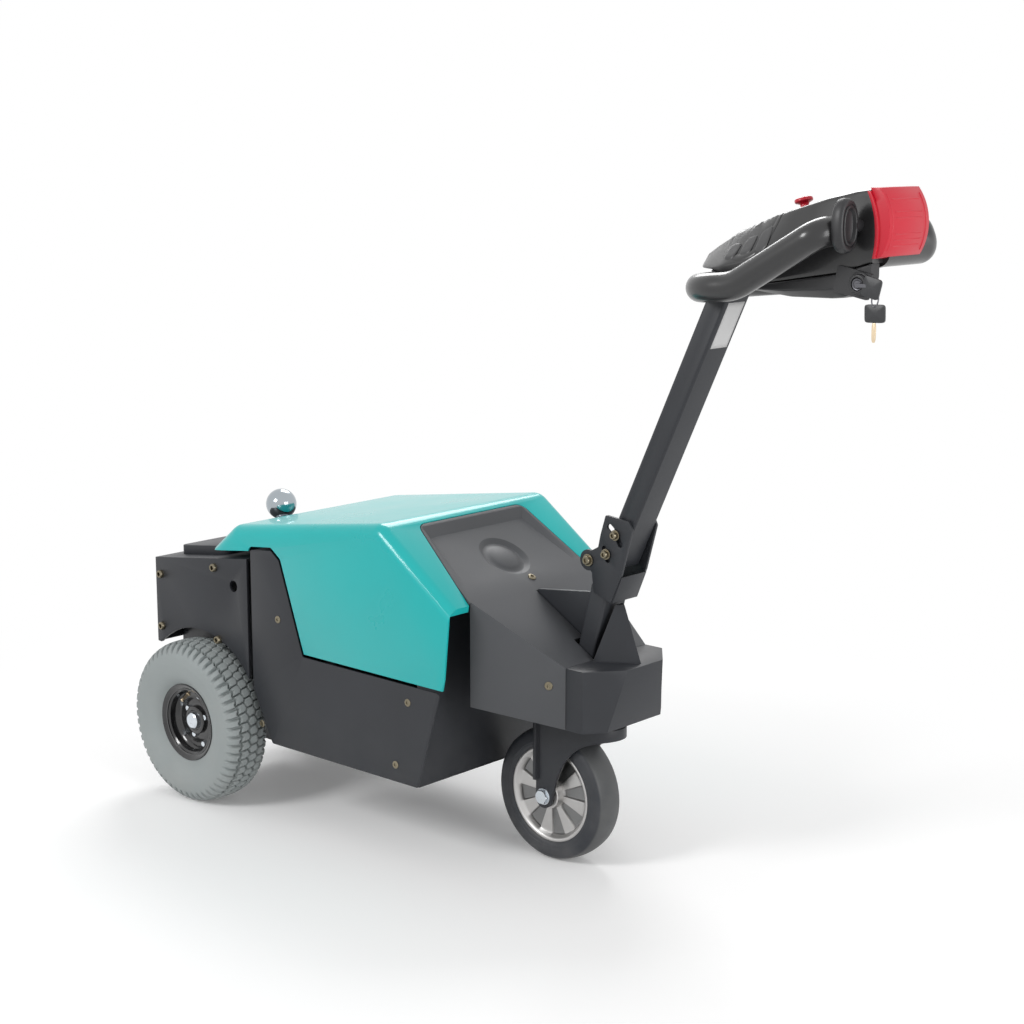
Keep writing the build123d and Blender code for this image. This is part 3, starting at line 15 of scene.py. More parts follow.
import bmesh
import bpy
import numpy as np
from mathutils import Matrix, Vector


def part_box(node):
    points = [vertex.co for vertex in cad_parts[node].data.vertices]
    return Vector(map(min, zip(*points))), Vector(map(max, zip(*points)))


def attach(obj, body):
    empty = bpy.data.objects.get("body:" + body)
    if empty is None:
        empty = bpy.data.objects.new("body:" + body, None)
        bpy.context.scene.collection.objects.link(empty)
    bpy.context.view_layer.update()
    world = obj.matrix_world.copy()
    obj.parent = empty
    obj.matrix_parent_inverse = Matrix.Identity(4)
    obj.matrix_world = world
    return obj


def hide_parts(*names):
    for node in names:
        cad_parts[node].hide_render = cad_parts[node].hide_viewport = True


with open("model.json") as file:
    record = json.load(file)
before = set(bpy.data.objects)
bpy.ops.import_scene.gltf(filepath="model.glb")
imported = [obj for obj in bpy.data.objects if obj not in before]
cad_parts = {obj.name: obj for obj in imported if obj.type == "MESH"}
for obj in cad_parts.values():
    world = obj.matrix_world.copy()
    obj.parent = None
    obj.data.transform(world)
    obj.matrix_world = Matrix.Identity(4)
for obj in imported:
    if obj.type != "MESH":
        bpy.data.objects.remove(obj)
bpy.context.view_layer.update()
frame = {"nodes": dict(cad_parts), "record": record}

Point = tuple[float, float, float]
Color = tuple[float, float, float]
Table = tuple[tuple[float, float], ...]
Socket = bpy.types.NodeSocket

MM = 0.001
AXLE_X = -0.510
NODE_BODY = {node: body for body, nodes in frame["record"]["behaviour"]["bodies"].items() for node in nodes}
NODE_SLOT = {part["node"]: part["material_slot"] for part in frame["record"]["subparts"]}
MERGE_DISTANCE = 1e-6
FLAT_ANGLE = 0.4
CLOUD_BAND = (0.3, 0.7)
ROUGHNESS_DRIFT = (0.88, 1.14)
COAT_ROUGHNESS = 0.05
DUST_COLOR = (0.42, 0.41, 0.39)
DUST_ROUGHNESS = 0.85
LOG = logging.getLogger("tow_tractor")


def ahead(x: float, y: float, z: float) -> Point:
    """A place given in millimetres ahead of the drive axle, to the left and above the floor."""
    return (AXLE_X + x * MM, y * MM, z * MM)


def sideways(sign: float) -> Point:
    """The direction to the machine's left for 1, or to its right for -1."""
    return (0.0, float(sign), 0.0)


def opaque(color: Color, share: float = 1.0) -> tuple[float, ...]:
    """A colour times a share, kept within 0 to 1 and with full alpha."""
    return tuple(min(1.0, max(0.0, part * share)) for part in color) + (1.0,)


def add_object(name: str, data: bpy.types.ID) -> bpy.types.Object:
    """Put a new object into the scene.

    Args:
        name: the object's name.
        data: its mesh, lamp or camera.

    Returns:
        The new object.
    """
    item = bpy.data.objects.new(name, data)
    bpy.context.scene.collection.objects.link(item)
    return item


class Texture(Enum):
    """Kinds of fine surface that a finish can have."""

    PEEL = "peel"
    GRAIN = "grain"
    CAST = "cast"
    SMOOTH = "smooth"


CELL_SHARE = {Texture.PEEL: 0.0, Texture.GRAIN: 0.75, Texture.CAST: 0.35, Texture.SMOOTH: 0.0}


class NodeKit:
    """Shorthand for wiring one node tree."""

    def __init__(self, tree: bpy.types.NodeTree) -> None:
        """Keep the material's, world's or group's tree, which nodes are added to."""
        self.tree = tree

    @classmethod
    def fresh(cls, owner: bpy.types.ID) -> "NodeKit":
        """Start an empty node tree.

        Args:
            owner: the material or world.
        """
        owner.use_nodes = True
        owner.node_tree.nodes.clear()
        return cls(owner.node_tree)

    def close(self, kind: str, surface: Socket) -> None:
        """Add the tree's output node, of some Blender type, and link the shader to it."""
        self.tree.links.new(surface, self.add(kind).inputs["Surface"])

    def add(self, kind: str, inputs: dict | None = None, **settings: object) -> bpy.types.Node:
        """Add one node.

        Args:
            kind: the node's Blender type name.
            inputs: socket name or number to a value or to another node's output socket.
            **settings: attributes set on the node before its inputs.

        Returns:
            The new node.
        """
        node = self.tree.nodes.new(kind)
        for name, value in settings.items():
            setattr(node, name, value)
        for socket, value in (inputs or {}).items():
            if isinstance(value, Socket):
                self.tree.links.new(value, node.inputs[socket])
            else:
                node.inputs[socket].default_value = value
        return node

    def math(self, operation: str, first: object, second: object = 0.0) -> Socket:
        """Combine two numbers, each a value or a socket, by one of the Math node's operations."""
        return self.add("ShaderNodeMath", {0: first, 1: second}, operation=operation).outputs[0]

    def mix(self, factor: object, first: object, second: object) -> Socket:
        """Mix two colours, each a value or a socket, by the second one's share."""
        return self.add("ShaderNodeMix", {0: factor, 6: first, 7: second}, data_type="RGBA").outputs[2]

    def noise(self, place: Socket, scale: object, detail: float) -> Socket:
        """Noise over a place, with some finer layers."""
        return self.add("ShaderNodeTexNoise", {"Vector": place, "Scale": scale, "Detail": detail}).outputs[0]

    def band(self, value: Socket, low: float, high: float, start: float = 0.0, stop: float = 1.0) -> Socket:
        """Stretch the part of a number between low and high, so that it runs from start to stop."""
        inputs = {"Value": value, "From Min": low, "From Max": high, "To Min": start, "To Max": stop}
        return self.add("ShaderNodeMapRange", inputs).outputs["Result"]


@dataclass
class SurfaceGroups:
    """Shader node groups that more than one finish uses."""

    relief: bpy.types.NodeTree = field(init=False)
    wear: bpy.types.NodeTree = field(init=False)
    dust: bpy.types.NodeTree = field(init=False)

    def __post_init__(self) -> None:
        """Build each group once."""
        self.relief = self.build_relief()
        self.wear = self.build_wear()
        self.dust = self.build_dust()

    @staticmethod
    def start(name: str, inputs: dict[str, float], outputs: tuple[str, ...]) -> tuple:
        """Open a group with named sockets.

        Args:
            name: the group's name.
            inputs: name to default of each float input.
            outputs: names of the float outputs.

        Returns:
            The tree, its node kit, its input node and its output node.
        """
        tree = bpy.data.node_groups.new(name, "ShaderNodeTree")
        for label, default in inputs.items():
            socket = tree.interface.new_socket(label, in_out="INPUT", socket_type="NodeSocketFloat")
            socket.default_value = default
        for label in outputs:
            tree.interface.new_socket(label, in_out="OUTPUT", socket_type="NodeSocketFloat")
        kit = NodeKit(tree)
        return tree, kit, tree.nodes.new("NodeGroupInput"), tree.nodes.new("NodeGroupOutput")

    def build_relief(self) -> bpy.types.NodeTree:
        """Fine bumps in object space, noise mixed with cells, and a wide cloud pattern.

        Returns:
            The group with outputs Height and Cloud.
        """
        inputs = {"Scale": 500.0, "Cells": 0.5, "Cloud Scale": 9.0}
        tree, kit, start, end = self.start("surface_relief", inputs, ("Height", "Cloud"))
        place = kit.add("ShaderNodeTexCoord").outputs["Object"]
        scale = start.outputs["Scale"]
        noise = kit.noise(place, scale, 3.0)
        cells = kit.add("ShaderNodeTexVoronoi", {"Vector": place, "Scale": scale}).outputs["Distance"]
        height = kit.add("ShaderNodeMix", {0: start.outputs["Cells"], 2: noise, 3: cells})
        tree.links.new(height.outputs[0], end.inputs["Height"])
        tree.links.new(kit.noise(place, start.outputs["Cloud Scale"], 5.0), end.inputs["Cloud"])
        return tree

    def build_wear(self) -> bpy.types.NodeTree:
        """Worn edges: where a rounded normal departs from the true one, broken up by noise.

        Returns:
            The group with output Mask.
        """
        tree, kit, start, end = self.start("edge_wear", {"Radius": 0.0012, "Amount": 0.5}, ("Mask",))
        soft = kit.add("ShaderNodeBevel", {"Radius": start.outputs["Radius"]}, samples=6).outputs[0]
        true = kit.add("ShaderNodeNewGeometry").outputs["Normal"]
        match = kit.add("ShaderNodeVectorMath", {0: soft, 1: true}, operation="DOT_PRODUCT").outputs["Value"]
        edge = kit.band(kit.math("SUBTRACT", 1.0, match), 0.02, 0.22)
        place = kit.add("ShaderNodeTexCoord").outputs["Object"]
        rub = kit.noise(place, 55.0, 5.0)
        mask = kit.math("MULTIPLY", edge, kit.band(rub, 0.38, 0.62))
        tree.links.new(kit.math("MULTIPLY", mask, start.outputs["Amount"]), end.inputs["Mask"])
        return tree

    def build_dust(self) -> bpy.types.NodeTree:
        """Dust that settles on surfaces facing up and near the floor.

        Returns:
            The group with output Mask.
        """
        tree, kit, start, end = self.start("settled_dust", {"Amount": 0.1, "Reach": 0.25}, ("Mask",))
        normal = kit.add("ShaderNodeNewGeometry").outputs["Normal"]
        up = kit.band(kit.add("ShaderNodeSeparateXYZ", {0: normal}).outputs[2], 0.3, 1.0)
        place = kit.add("ShaderNodeTexCoord").outputs["Object"]
        height = kit.add("ShaderNodeSeparateXYZ", {0: place}).outputs[2]
        low = kit.math("SUBTRACT", 1.0, kit.math("DIVIDE", height, start.outputs["Reach"]))
        low = kit.math("MAXIMUM", low, 0.0)
        patch = kit.noise(place, 24.0, 6.0)
        settled = kit.math("ADD", kit.math("MULTIPLY", up, 0.4), low)
        spread = kit.math("MULTIPLY", settled, kit.band(patch, 0.3, 0.7))
        tree.links.new(kit.math("MULTIPLY", spread, start.outputs["Amount"]), end.inputs["Mask"])
        return tree


@dataclass(frozen=True)
class Finish:
    """One finish of the machine, from which a material is made.

    The colour drifts a little with a cloud pattern. The worn edges take the wear colour, the places
    where the piece's attribute named as the mask is 1 take the mask's colour, and the dust lies over
    them all. Bumps are given in metres.
    """

    name: str
    color: Color
    roughness: float
    texture: Texture = Texture.SMOOTH
    metallic: float = 0.0
    coat: float = 0.0
    bump: float = 0.0
    scale: float = 600.0
    drift: float = 0.12
    wear: float = 0.0
    wear_color: Color = (0.3, 0.3, 0.31)
    dust: float = 0.0
    specular: float = 0.5
    mask: str = ""
    mask_color: Color = (0.1, 0.1, 0.1)

    def material(self, groups: SurfaceGroups) -> bpy.types.Material:
        """Make the finish's material.

        Args:
            groups: the shared shader groups.

        Returns:
            The node material.
        """
        material = bpy.data.materials.new(self.name)
        kit = NodeKit.fresh(material)
        settings = {"Scale": self.scale, "Cells": CELL_SHARE[self.texture]}
        relief = kit.add("ShaderNodeGroup", settings, node_tree=groups.relief)
        cloud = relief.outputs["Cloud"]
        color = kit.mix(kit.band(cloud, *CLOUD_BAND), opaque(self.color, 1.0 - self.drift),
                        opaque(self.color, 1.0 + self.drift))
        if self.wear:
            wear = kit.add("ShaderNodeGroup", {"Amount": self.wear}, node_tree=groups.wear)
            color = kit.mix(wear.outputs["Mask"], color, opaque(self.wear_color))
        if self.mask:
            share = kit.add("ShaderNodeAttribute", attribute_name=self.mask).outputs["Fac"]
            color = kit.mix(share, color, opaque(self.mask_color))
        smooth, rough = (self.roughness * share for share in ROUGHNESS_DRIFT)
        roughness = kit.band(cloud, *CLOUD_BAND, smooth, rough)
        if self.dust:
            dust = kit.add("ShaderNodeGroup", {"Amount": self.dust}, node_tree=groups.dust).outputs["Mask"]
            color = kit.mix(dust, color, opaque(DUST_COLOR))
            roughness = kit.math("MAXIMUM", roughness, kit.math("MULTIPLY", dust, DUST_ROUGHNESS))
        shader = kit.add("ShaderNodeBsdfPrincipled", {
            "Base Color": color, "Roughness": roughness, "Metallic": self.metallic, "Coat Weight": self.coat,
            "Coat Roughness": COAT_ROUGHNESS, "Specular IOR Level": self.specular})
        if self.bump:
            bump = kit.add("ShaderNodeBump", {"Height": relief.outputs["Height"], "Distance": self.bump})
            bump.inputs["Strength"].default_value = 1.0
            kit.tree.links.new(bump.outputs[0], shader.inputs["Normal"])
        kit.close("ShaderNodeOutputMaterial", shader.outputs[0])
        return material


FINISHES = (
    Finish("black_powder_coat", (0.024, 0.026, 0.031), 0.44, Texture.PEEL, bump=0.00002, scale=900.0, wear=0.14,
           dust=0.04, specular=0.38),
    Finish("battery_case", (0.05, 0.05, 0.055), 0.6, Texture.GRAIN, bump=0.00003),
    Finish("drive_casting", (0.075, 0.076, 0.08), 0.55, Texture.CAST, bump=0.00015, scale=420.0, dust=0.3,
           wear=0.3),
    Finish("polished_chrome", (0.40, 0.44, 0.47), 0.12, metallic=1.0, drift=0.03),
    Finish("teal_gloss", (0.006, 0.455, 0.450), 0.30, Texture.PEEL, coat=0.35, bump=0.000002, scale=300.0,
           drift=0.02, specular=0.3),
    Finish("grained_plastic", (0.064, 0.067, 0.073), 0.5, Texture.GRAIN, bump=0.00004, scale=850.0, drift=0.06),
    Finish("plated_bolts", (0.24, 0.21, 0.15), 0.34, metallic=1.0, drift=0.25),
    Finish("grey_tyre", (0.305, 0.335, 0.335), 0.66, Texture.CAST, bump=0.00006, scale=700.0, drift=0.06,
           dust=0.25),
    Finish("black_rim", (0.008, 0.008, 0.009), 0.18, Texture.PEEL, coat=0.5, bump=0.000008, scale=400.0,
           dust=0.03),
    Finish("zinc", (0.62, 0.66, 0.70), 0.24, metallic=1.0, drift=0.12),
    Finish("cast_aluminium", (0.56, 0.55, 0.54), 0.38, Texture.CAST, metallic=1.0, bump=0.00004, scale=900.0,
           mask="pocket", mask_color=(0.24, 0.24, 0.24)),
    Finish("castor_rubber", (0.020, 0.023, 0.030), 0.5, Texture.CAST, bump=0.00002, scale=900.0, dust=0.12,
           mask="tread", mask_color=(0.056, 0.059, 0.062)),
    Finish("black_gloss_plastic", (0.020, 0.020, 0.021), 0.30, Texture.GRAIN, bump=0.000005, scale=900.0,
           coat=0.25),
    Finish("black_matte_plastic", (0.022, 0.022, 0.024), 0.42, Texture.GRAIN, bump=0.00003, scale=900.0),
    Finish("red_plastic", (0.60, 0.010, 0.030), 0.36, Texture.GRAIN, bump=0.00001, scale=900.0, drift=0.05),
    Finish("key_metal", (0.62, 0.58, 0.48), 0.3, metallic=1.0, drift=0.15),
)
SLOT_FINISH = {finish.name: finish for finish in FINISHES}
# Pale grey of the plate that is painted reflection on the tiller tube's front.
TUBE_REFLECTION_PAINT = Finish("painted_tube_reflection", (0.60, 0.60, 0.60), 0.42, Texture.PEEL, bump=0.000004, scale=300.0,
                     drift=0.03)
BRASS = Finish("brass", (0.74, 0.60, 0.42), 0.3, metallic=1.0, drift=0.15)
KEY_BOW = Finish("key_bow", (0.030, 0.031, 0.034), 0.4, Texture.GRAIN, bump=0.00002, scale=900.0)
BUTTON = Finish("button", (0.060, 0.060, 0.062), 0.32, Texture.GRAIN, bump=0.00001, scale=900.0)
KEY_RING = Finish("key_ring", (0.11, 0.11, 0.12), 0.36, metallic=1.0, drift=0.2)


class MeshKit:
    """Makes meshes from numpy grids and profiles."""

    @staticmethod
    def grid(name: str, points: np.ndarray, closed_u: bool = False, closed_v: bool = False) -> bpy.types.Object:
        """A smooth sheet over a grid of points: neighbours along both directions share a face.

        Args:
            name: the piece's name.
            points: array of shape (u, v, 3).
            closed_u: whether the last row meets the first.
            closed_v: whether the last column meets the first.

        Returns:
            The new object.
        """
        rows, columns = points.shape[:2]
        index = np.arange(rows * columns).reshape(rows, columns)
        if closed_u:
            index = np.vstack([index, index[:1]])
        if closed_v:
            index = np.hstack([index, index[:, :1]])
        corners = [index[:-1, :-1], index[1:, :-1], index[1:, 1:], index[:-1, 1:]]
        return MeshKit.solid(name, points.reshape(-1, 3), np.stack(corners, axis=-1).reshape(-1, 4))

    @staticmethod
    def solid(name: str, points: np.ndarray, faces: np.ndarray) -> bpy.types.Object:
        """An object from points and four-cornered faces, with outward normals and smooth shading.

        Args:
            name: the piece's name.
            points: array of shape (n, 3).
            faces: array of shape (m, 4).

        Returns:
            The new object.
        """
        mesh = bpy.data.meshes.new(name)
        mesh.from_pydata(points, [], faces.tolist())
        work = bmesh.new()
        work.from_mesh(mesh)
        bmesh.ops.remove_doubles(work, verts=work.verts, dist=MERGE_DISTANCE)
        bmesh.ops.dissolve_degenerate(work, edges=work.edges, dist=MERGE_DISTANCE)
        bmesh.ops.recalc_face_normals(work, faces=work.faces)
        work.to_mesh(mesh)
        work.free()
        piece = add_object(name, mesh)
        MeshKit.shade(piece)
        return piece

    @staticmethod
    def shade(piece: bpy.types.Object, angle: float = 32.0) -> None:
        """Smooth shading that breaks at edges sharper than an angle in degrees."""
        piece.data.shade_smooth()
        piece.data.set_sharp_from_angle(angle=math.radians(angle))

    @staticmethod
    def basis(axis: Point, hint: Point = (0.0, 0.0, 1.0)) -> np.ndarray:
        """Three unit vectors as rows: two square to an axis, then the axis.

        Args:
            axis: direction of the third row.
            hint: direction near which the first row lies.

        Returns:
            Array of shape (3, 3).
        """
        w = np.array(axis, float) / np.linalg.norm(axis)
        u = np.array(hint, float) - w * np.dot(hint, w)
        if np.linalg.norm(u) < 1e-6:
            u = np.cross((0.0, 1.0, 0.0), w)
        u = u / np.linalg.norm(u)
        return np.stack([u, np.cross(w, u), w])

    @staticmethod
    def angles(segments: int) -> np.ndarray:
        """Even angles once round, without the last, which would meet the first."""
        return np.arange(segments) * (2 * np.pi / segments)

    @staticmethod
    def revolve(along: np.ndarray, radius: np.ndarray, centre: Point, axis: Point,
                segments: int) -> np.ndarray:
        """Points about an axis: each is centre + along * axis + radius * direction(angle).

        Args:
            along: distances along the axis, of shape (segments or 1, n).
            radius: distances from the axis, of shape (segments or 1, n).
            centre: where distance 0 lies.
            axis: direction of the axis.
            segments: number of steps round.

        Returns:
            Array of shape (segments, n, 3).
        """
        u, v, w = MeshKit.basis(axis)
        angle = MeshKit.angles(segments)
        ring = np.cos(angle)[:, None] * u + np.sin(angle)[:, None] * v
        return np.array(centre) + along[..., None] * w + radius[..., None] * ring[:, None, :]

    @staticmethod
    def turned(name: str, profile: Table | np.ndarray, centre: Point, axis: Point, segments: int,
               closed: bool = False) -> bpy.types.Object:
        """A piece whose profile, in millimetres, is turned about an axis.

        Args:
            name: the piece's name.
            profile: rows of the distance along the axis and the radius.
            centre: where distance 0 lies.
            axis: direction of the axis.
            segments: number of steps round.
            closed: whether the profile's end meets its start.

        Returns:
            The new object.
        """
        along, radius = (np.array(profile, float) * MM).T[:, None]
        return MeshKit.grid(name, MeshKit.revolve(along, radius, centre, axis, segments), closed_u=True,
                            closed_v=closed)

    @staticmethod
    def rounded_path(corners: np.ndarray, radii: tuple[float, ...], steps: int) -> np.ndarray:
        """Points along straight runs joined by arcs: each corner's arc is tangent to both its runs.

        Args:
            corners: array of shape (n, 3).
            radii: one radius for each inner corner.
            steps: points in each arc.

        Returns:
            Array of shape (m, 3).
        """
        rows = [corners[:1]]
        for index, radius in enumerate(radii, start=1):
            here = corners[index]
            back = corners[index - 1] - here
            on = corners[index + 1] - here
            back, on = back / np.linalg.norm(back), on / np.linalg.norm(on)
            half = np.arccos(np.clip(np.dot(back, on), -1, 1)) / 2
            reach = radius / math.tan(half)
            middle = (back + on) / np.linalg.norm(back + on)
            centre = here + middle * radius / math.sin(half)
            start, stop = here + back * reach - centre, here + on * reach - centre
            sweep = math.pi - 2 * half
            share = np.linspace(0, 1, steps)[:, None]
            arc = (np.sin((1 - share) * sweep) * start + np.sin(share * sweep) * stop) / math.sin(sweep)
            rows.append(centre + arc)
        rows.append(corners[-1:])
        return np.vstack(rows)

    @staticmethod
    def tube(path: np.ndarray, radius: np.ndarray, segments: int) -> np.ndarray:
        """A round section carried along a path: each ring stands square to the path's tangent.

        The section's first direction is carried on from ring to ring, so the tube doesn't twist.

        Args:
            path: array of shape (n, 3).
            radius: array of shape (n,).
            segments: number of steps round.

        Returns:
            Array of shape (n, segments, 3).
        """
        tangent = np.gradient(path, axis=0)
        tangent /= np.linalg.norm(tangent, axis=1)[:, None]
        first = np.cross(tangent[0], (0.3, 0.2, 1.0))
        rows = []
        for direction in tangent:
            first = first - direction * np.dot(first, direction)
            first = first / np.linalg.norm(first)
            rows.append((first, np.cross(direction, first)))
        side = np.array(rows)
        angle = MeshKit.angles(segments)
        ring = np.cos(angle)[None, :, None] * side[:, None, 0] + np.sin(angle)[None, :, None] * side[:, None, 1]
        return path[:, None] + ring * radius[:, None, None]

    @staticmethod
    def smooth_line(points: np.ndarray, share: np.ndarray) -> np.ndarray:
        """A smooth line through points: between two neighbours it is the cubic with their slopes.

        The slopes are the points' central differences against the distance run.

        Args:
            points: array of shape (n, d).
            share: where to read the line, from 0 at its start to 1 at its end.

        Returns:
            Array of shape (len(share), d).
        """
        run = np.concatenate([[0.0], np.cumsum(np.linalg.norm(np.diff(points, axis=0), axis=1))])
        slope = np.gradient(points, run, axis=0)
        at = np.clip(share, 0, 1) * run[-1]
        left = np.clip(np.searchsorted(run, at, side="right") - 1, 0, len(run) - 2)
        length = (run[left + 1] - run[left])[:, None]
        t = (at[:, None] - run[left][:, None]) / length
        return ((2 * t ** 3 - 3 * t ** 2 + 1) * points[left] + (t ** 3 - 2 * t ** 2 + t) * length * slope[left]
                + (3 * t ** 2 - 2 * t ** 3) * points[left + 1] + (t ** 3 - t ** 2) * length * slope[left + 1])

    @staticmethod
    def oval(centre: Point, axis: Point, half: tuple[float, float], rows: Table | np.ndarray,
             power: float = 2.0, turn: float = 0.0, segments: int = 72) -> np.ndarray:
        """A stack of like ovals: a ring's radius is (|cos|^power + |sin|^power)^(-1/power).

        Args:
            centre: where height 0 lies.
            axis: direction of the heights.
            half: the oval's half sizes, upwards and across.
            rows: each ring's height and its share of the half sizes.
            power: 2 for an ellipse, more for a rounded rectangle.
            turn: turn about the axis, in degrees.
            segments: number of steps round.

        Returns:
            Array of shape (segments, rows, 3).
        """
        u, v, w = MeshKit.basis(axis)
        angle = MeshKit.angles(segments)
        reach = (np.abs(np.cos(angle)) ** power + np.abs(np.sin(angle)) ** power) ** (-1 / power)
        first, second = reach * np.cos(angle) * half[0], reach * np.sin(angle) * half[1]
        cosine, sine = math.cos(math.radians(turn)), math.sin(math.radians(turn))
        up, across = first * cosine - second * sine, first * sine + second * cosine
        ring = up[:, None] * u + across[:, None] * v
        stack = np.array(rows)
        return np.array(centre) + stack[None, :, :1] * w + stack[None, :, 1:] * ring[:, None, :]

    @staticmethod
    def paint(piece: bpy.types.Object, name: str, rule: Callable[[np.ndarray], np.ndarray]) -> None:
        """Store a number at each point of a piece, for its material to read.

        Args:
            piece: the piece.
            name: the attribute's name.
            rule: gives the numbers of an array of places.
        """
        place = np.empty(3 * len(piece.data.vertices))
        piece.data.vertices.foreach_get("co", place)
        layer = piece.data.attributes.new(name, "FLOAT", "POINT")
        layer.data.foreach_set("value", rule(place.reshape(-1, 3)).astype(np.float32))

    @staticmethod
    def join(name: str, pieces: list[bpy.types.Object]) -> bpy.types.Object:
        """Join several new objects into one.

        Args:
            name: the joined piece's name.
            pieces: objects at the origin.

        Returns:
            The joined object.
        """
        work = bmesh.new()
        for piece in pieces:
            work.from_mesh(piece.data)
        mesh = bpy.data.meshes.new(name)
        work.to_mesh(mesh)
        work.free()
        for piece in pieces:
            bpy.data.objects.remove(piece)
        joined = add_object(name, mesh)
        MeshKit.shade(joined)
        return joined


@dataclass
class Workshop:
    """Dresses pieces: gives them their material and body, and hides the nodes that they replace."""

    groups: SurfaceGroups = field(default_factory=SurfaceGroups)
    materials: dict[str, bpy.types.Material] = field(default_factory=dict)

    def material(self, finish: Finish) -> bpy.types.Material:
        """Give a finish's material, made on its first use.

        Args:
            finish: the finish.

        Returns:
            The material.
        """
        if finish.name not in self.materials:
            self.materials[finish.name] = finish.material(self.groups)
        return self.materials[finish.name]

    def dress(self, piece: bpy.types.Object, body: str, slot: str, finish: Finish | None = None,
              replaces: tuple[str, ...] = ()) -> bpy.types.Object:
        """Finish a new piece.

        Args:
            piece: the new object, at the origin.
            body: the body that it rides on.
            slot: the record's material slot.
            finish: its finish, or the slot's own when left out.
            replaces: the nodes that it stands for.

        Returns:
            The same piece.
        """
        piece.data.materials.clear()
        piece.data.materials.append(self.material(finish or SLOT_FINISH[slot]))
        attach(piece, body)
        if replaces:
            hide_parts(*replaces)
        LOG.info("%s rides on %s: %d faces", piece.name, body, len(piece.data.polygons))
        return piece

    def eased(self, node: str, width: float = 0.0007, angle: float = 28.0) -> bpy.types.Object:
        """Stand a copy with eased edges in place of a node.

        The copy's loose triangles are merged, flat neighbours are joined, and every edge sharper
        than the angle gets a narrow round.

        Args:
            node: the node's name.
            width: width of the round.
            angle: smallest angle, in degrees, that gets a round.

        Returns:
            The new piece.
        """
        source = frame["nodes"][node]
        mesh = source.data.copy()
        work = bmesh.new()
        work.from_mesh(mesh)
        bmesh.ops.remove_doubles(work, verts=work.verts, dist=2 * MERGE_DISTANCE)
        bmesh.ops.dissolve_limit(work, angle_limit=math.radians(FLAT_ANGLE), verts=work.verts, edges=work.edges)
        sharp = [edge for edge in work.edges
                 if len(edge.link_faces) == 2 and edge.calc_face_angle(0.0) > math.radians(angle)]
        bmesh.ops.bevel(work, geom=sharp, offset=width, segments=2, profile=0.5, affect="EDGES",
                        clamp_overlap=True)
        bmesh.ops.triangulate(work, faces=[face for face in work.faces if len(face.verts) > 4])
        work.to_mesh(mesh)
        work.free()
        for name in [layer.name for layer in mesh.attributes if layer.name == "custom_normal"]:
            mesh.attributes.remove(mesh.attributes[name])
        piece = add_object(f"{node}_eased", mesh)
        MeshKit.shade(piece, 35.0)
        return self.dress(piece, NODE_BODY[node], NODE_SLOT[node], replaces=(node,))

    def carry_over(self) -> None:
        """Give every node its finish's material."""
        for name, node in frame["nodes"].items():
            node.data.materials.clear()
            node.data.materials.append(self.material(SLOT_FINISH[NODE_SLOT[name]]))


@dataclass
class Screws:
    """Screw and bolt heads as small turned forms."""

    shop: Workshop

    @staticmethod
    def hexagon(segments: int, inner: float) -> np.ndarray:
        """A hexagon's radii: the inner radius over the cosine of the angle from a flat's middle."""
        flat = (MeshKit.angles(segments) + np.pi / 6) % (np.pi / 3) - np.pi / 6
        return inner / np.cos(flat)

    @staticmethod
    def stack(name: str, place: Point, normal: Point, rings: tuple) -> bpy.types.Object:
        """Rings of their own outline, one over the other.

        Args:
            name: the new object's name.
            place: middle of the seat.
            normal: direction of the heights.
            rings: each ring's height and its radius at every angle.

        Returns:
            The new object.
        """
        heights, radii = zip(*rings)
        points = MeshKit.revolve(np.array([heights]), np.stack(radii, axis=1), place, normal, len(radii[0]))
        return MeshKit.grid(name, points, closed_u=True)

    def head(self, place: Point, normal: Point, radius: float, height: float,
             socket: float) -> bpy.types.Object:
        """A domed head with a hexagonal socket.

        Args:
            place: middle of the seat.
            normal: direction that the head points to.
            radius: radius of the head.
            height: height of the head over its seat.
            socket: radius of the socket's inner circle.

        Returns:
            The new object.
        """
        hexagon, disc = self.hexagon(36, socket), np.full(36, radius)
        rings = (
            (-0.3 * height, disc), (0.35 * height, disc), (0.8 * height, 0.93 * disc), (height, 0.8 * disc),
            (height, 1.12 * hexagon), (0.9 * height, hexagon), (0.1 * height, hexagon),
            (0.1 * height, 0.0 * hexagon),
        )
        return self.stack("head", place, normal, rings)

    def row(self, name: str, body: str, table: tuple, radius: float, height: float, socket: float) -> None:
        """Make one piece from heads of one size, whose table gives each one's place and normal."""
        heads = [self.head(place, normal, radius, height, socket) for place, normal in table]
        self.shop.dress(MeshKit.join(name, heads), body, "plated_bolts")

    def nut(self, place: Point, normal: Point, across: float, height: float) -> bpy.types.Object:
        """A hexagonal head with a chamfered top: the hexagon's radius shrinks over the last ring.

        Args:
            place: middle of the seat.
            normal: direction that the head points to.
            across: distance across the flats.
            height: height over the seat.

        Returns:
            The new object.
        """
        hexagon = self.hexagon(48, across / 2)
        crown = np.minimum(hexagon, across / 2 * 1.04)
        rings = ((-0.1 * height, hexagon), (0.82 * height, hexagon), (height, crown), (height, 0.5 * crown),
                 (height, 0.0 * crown))
        return self.stack("nut", place, normal, rings)


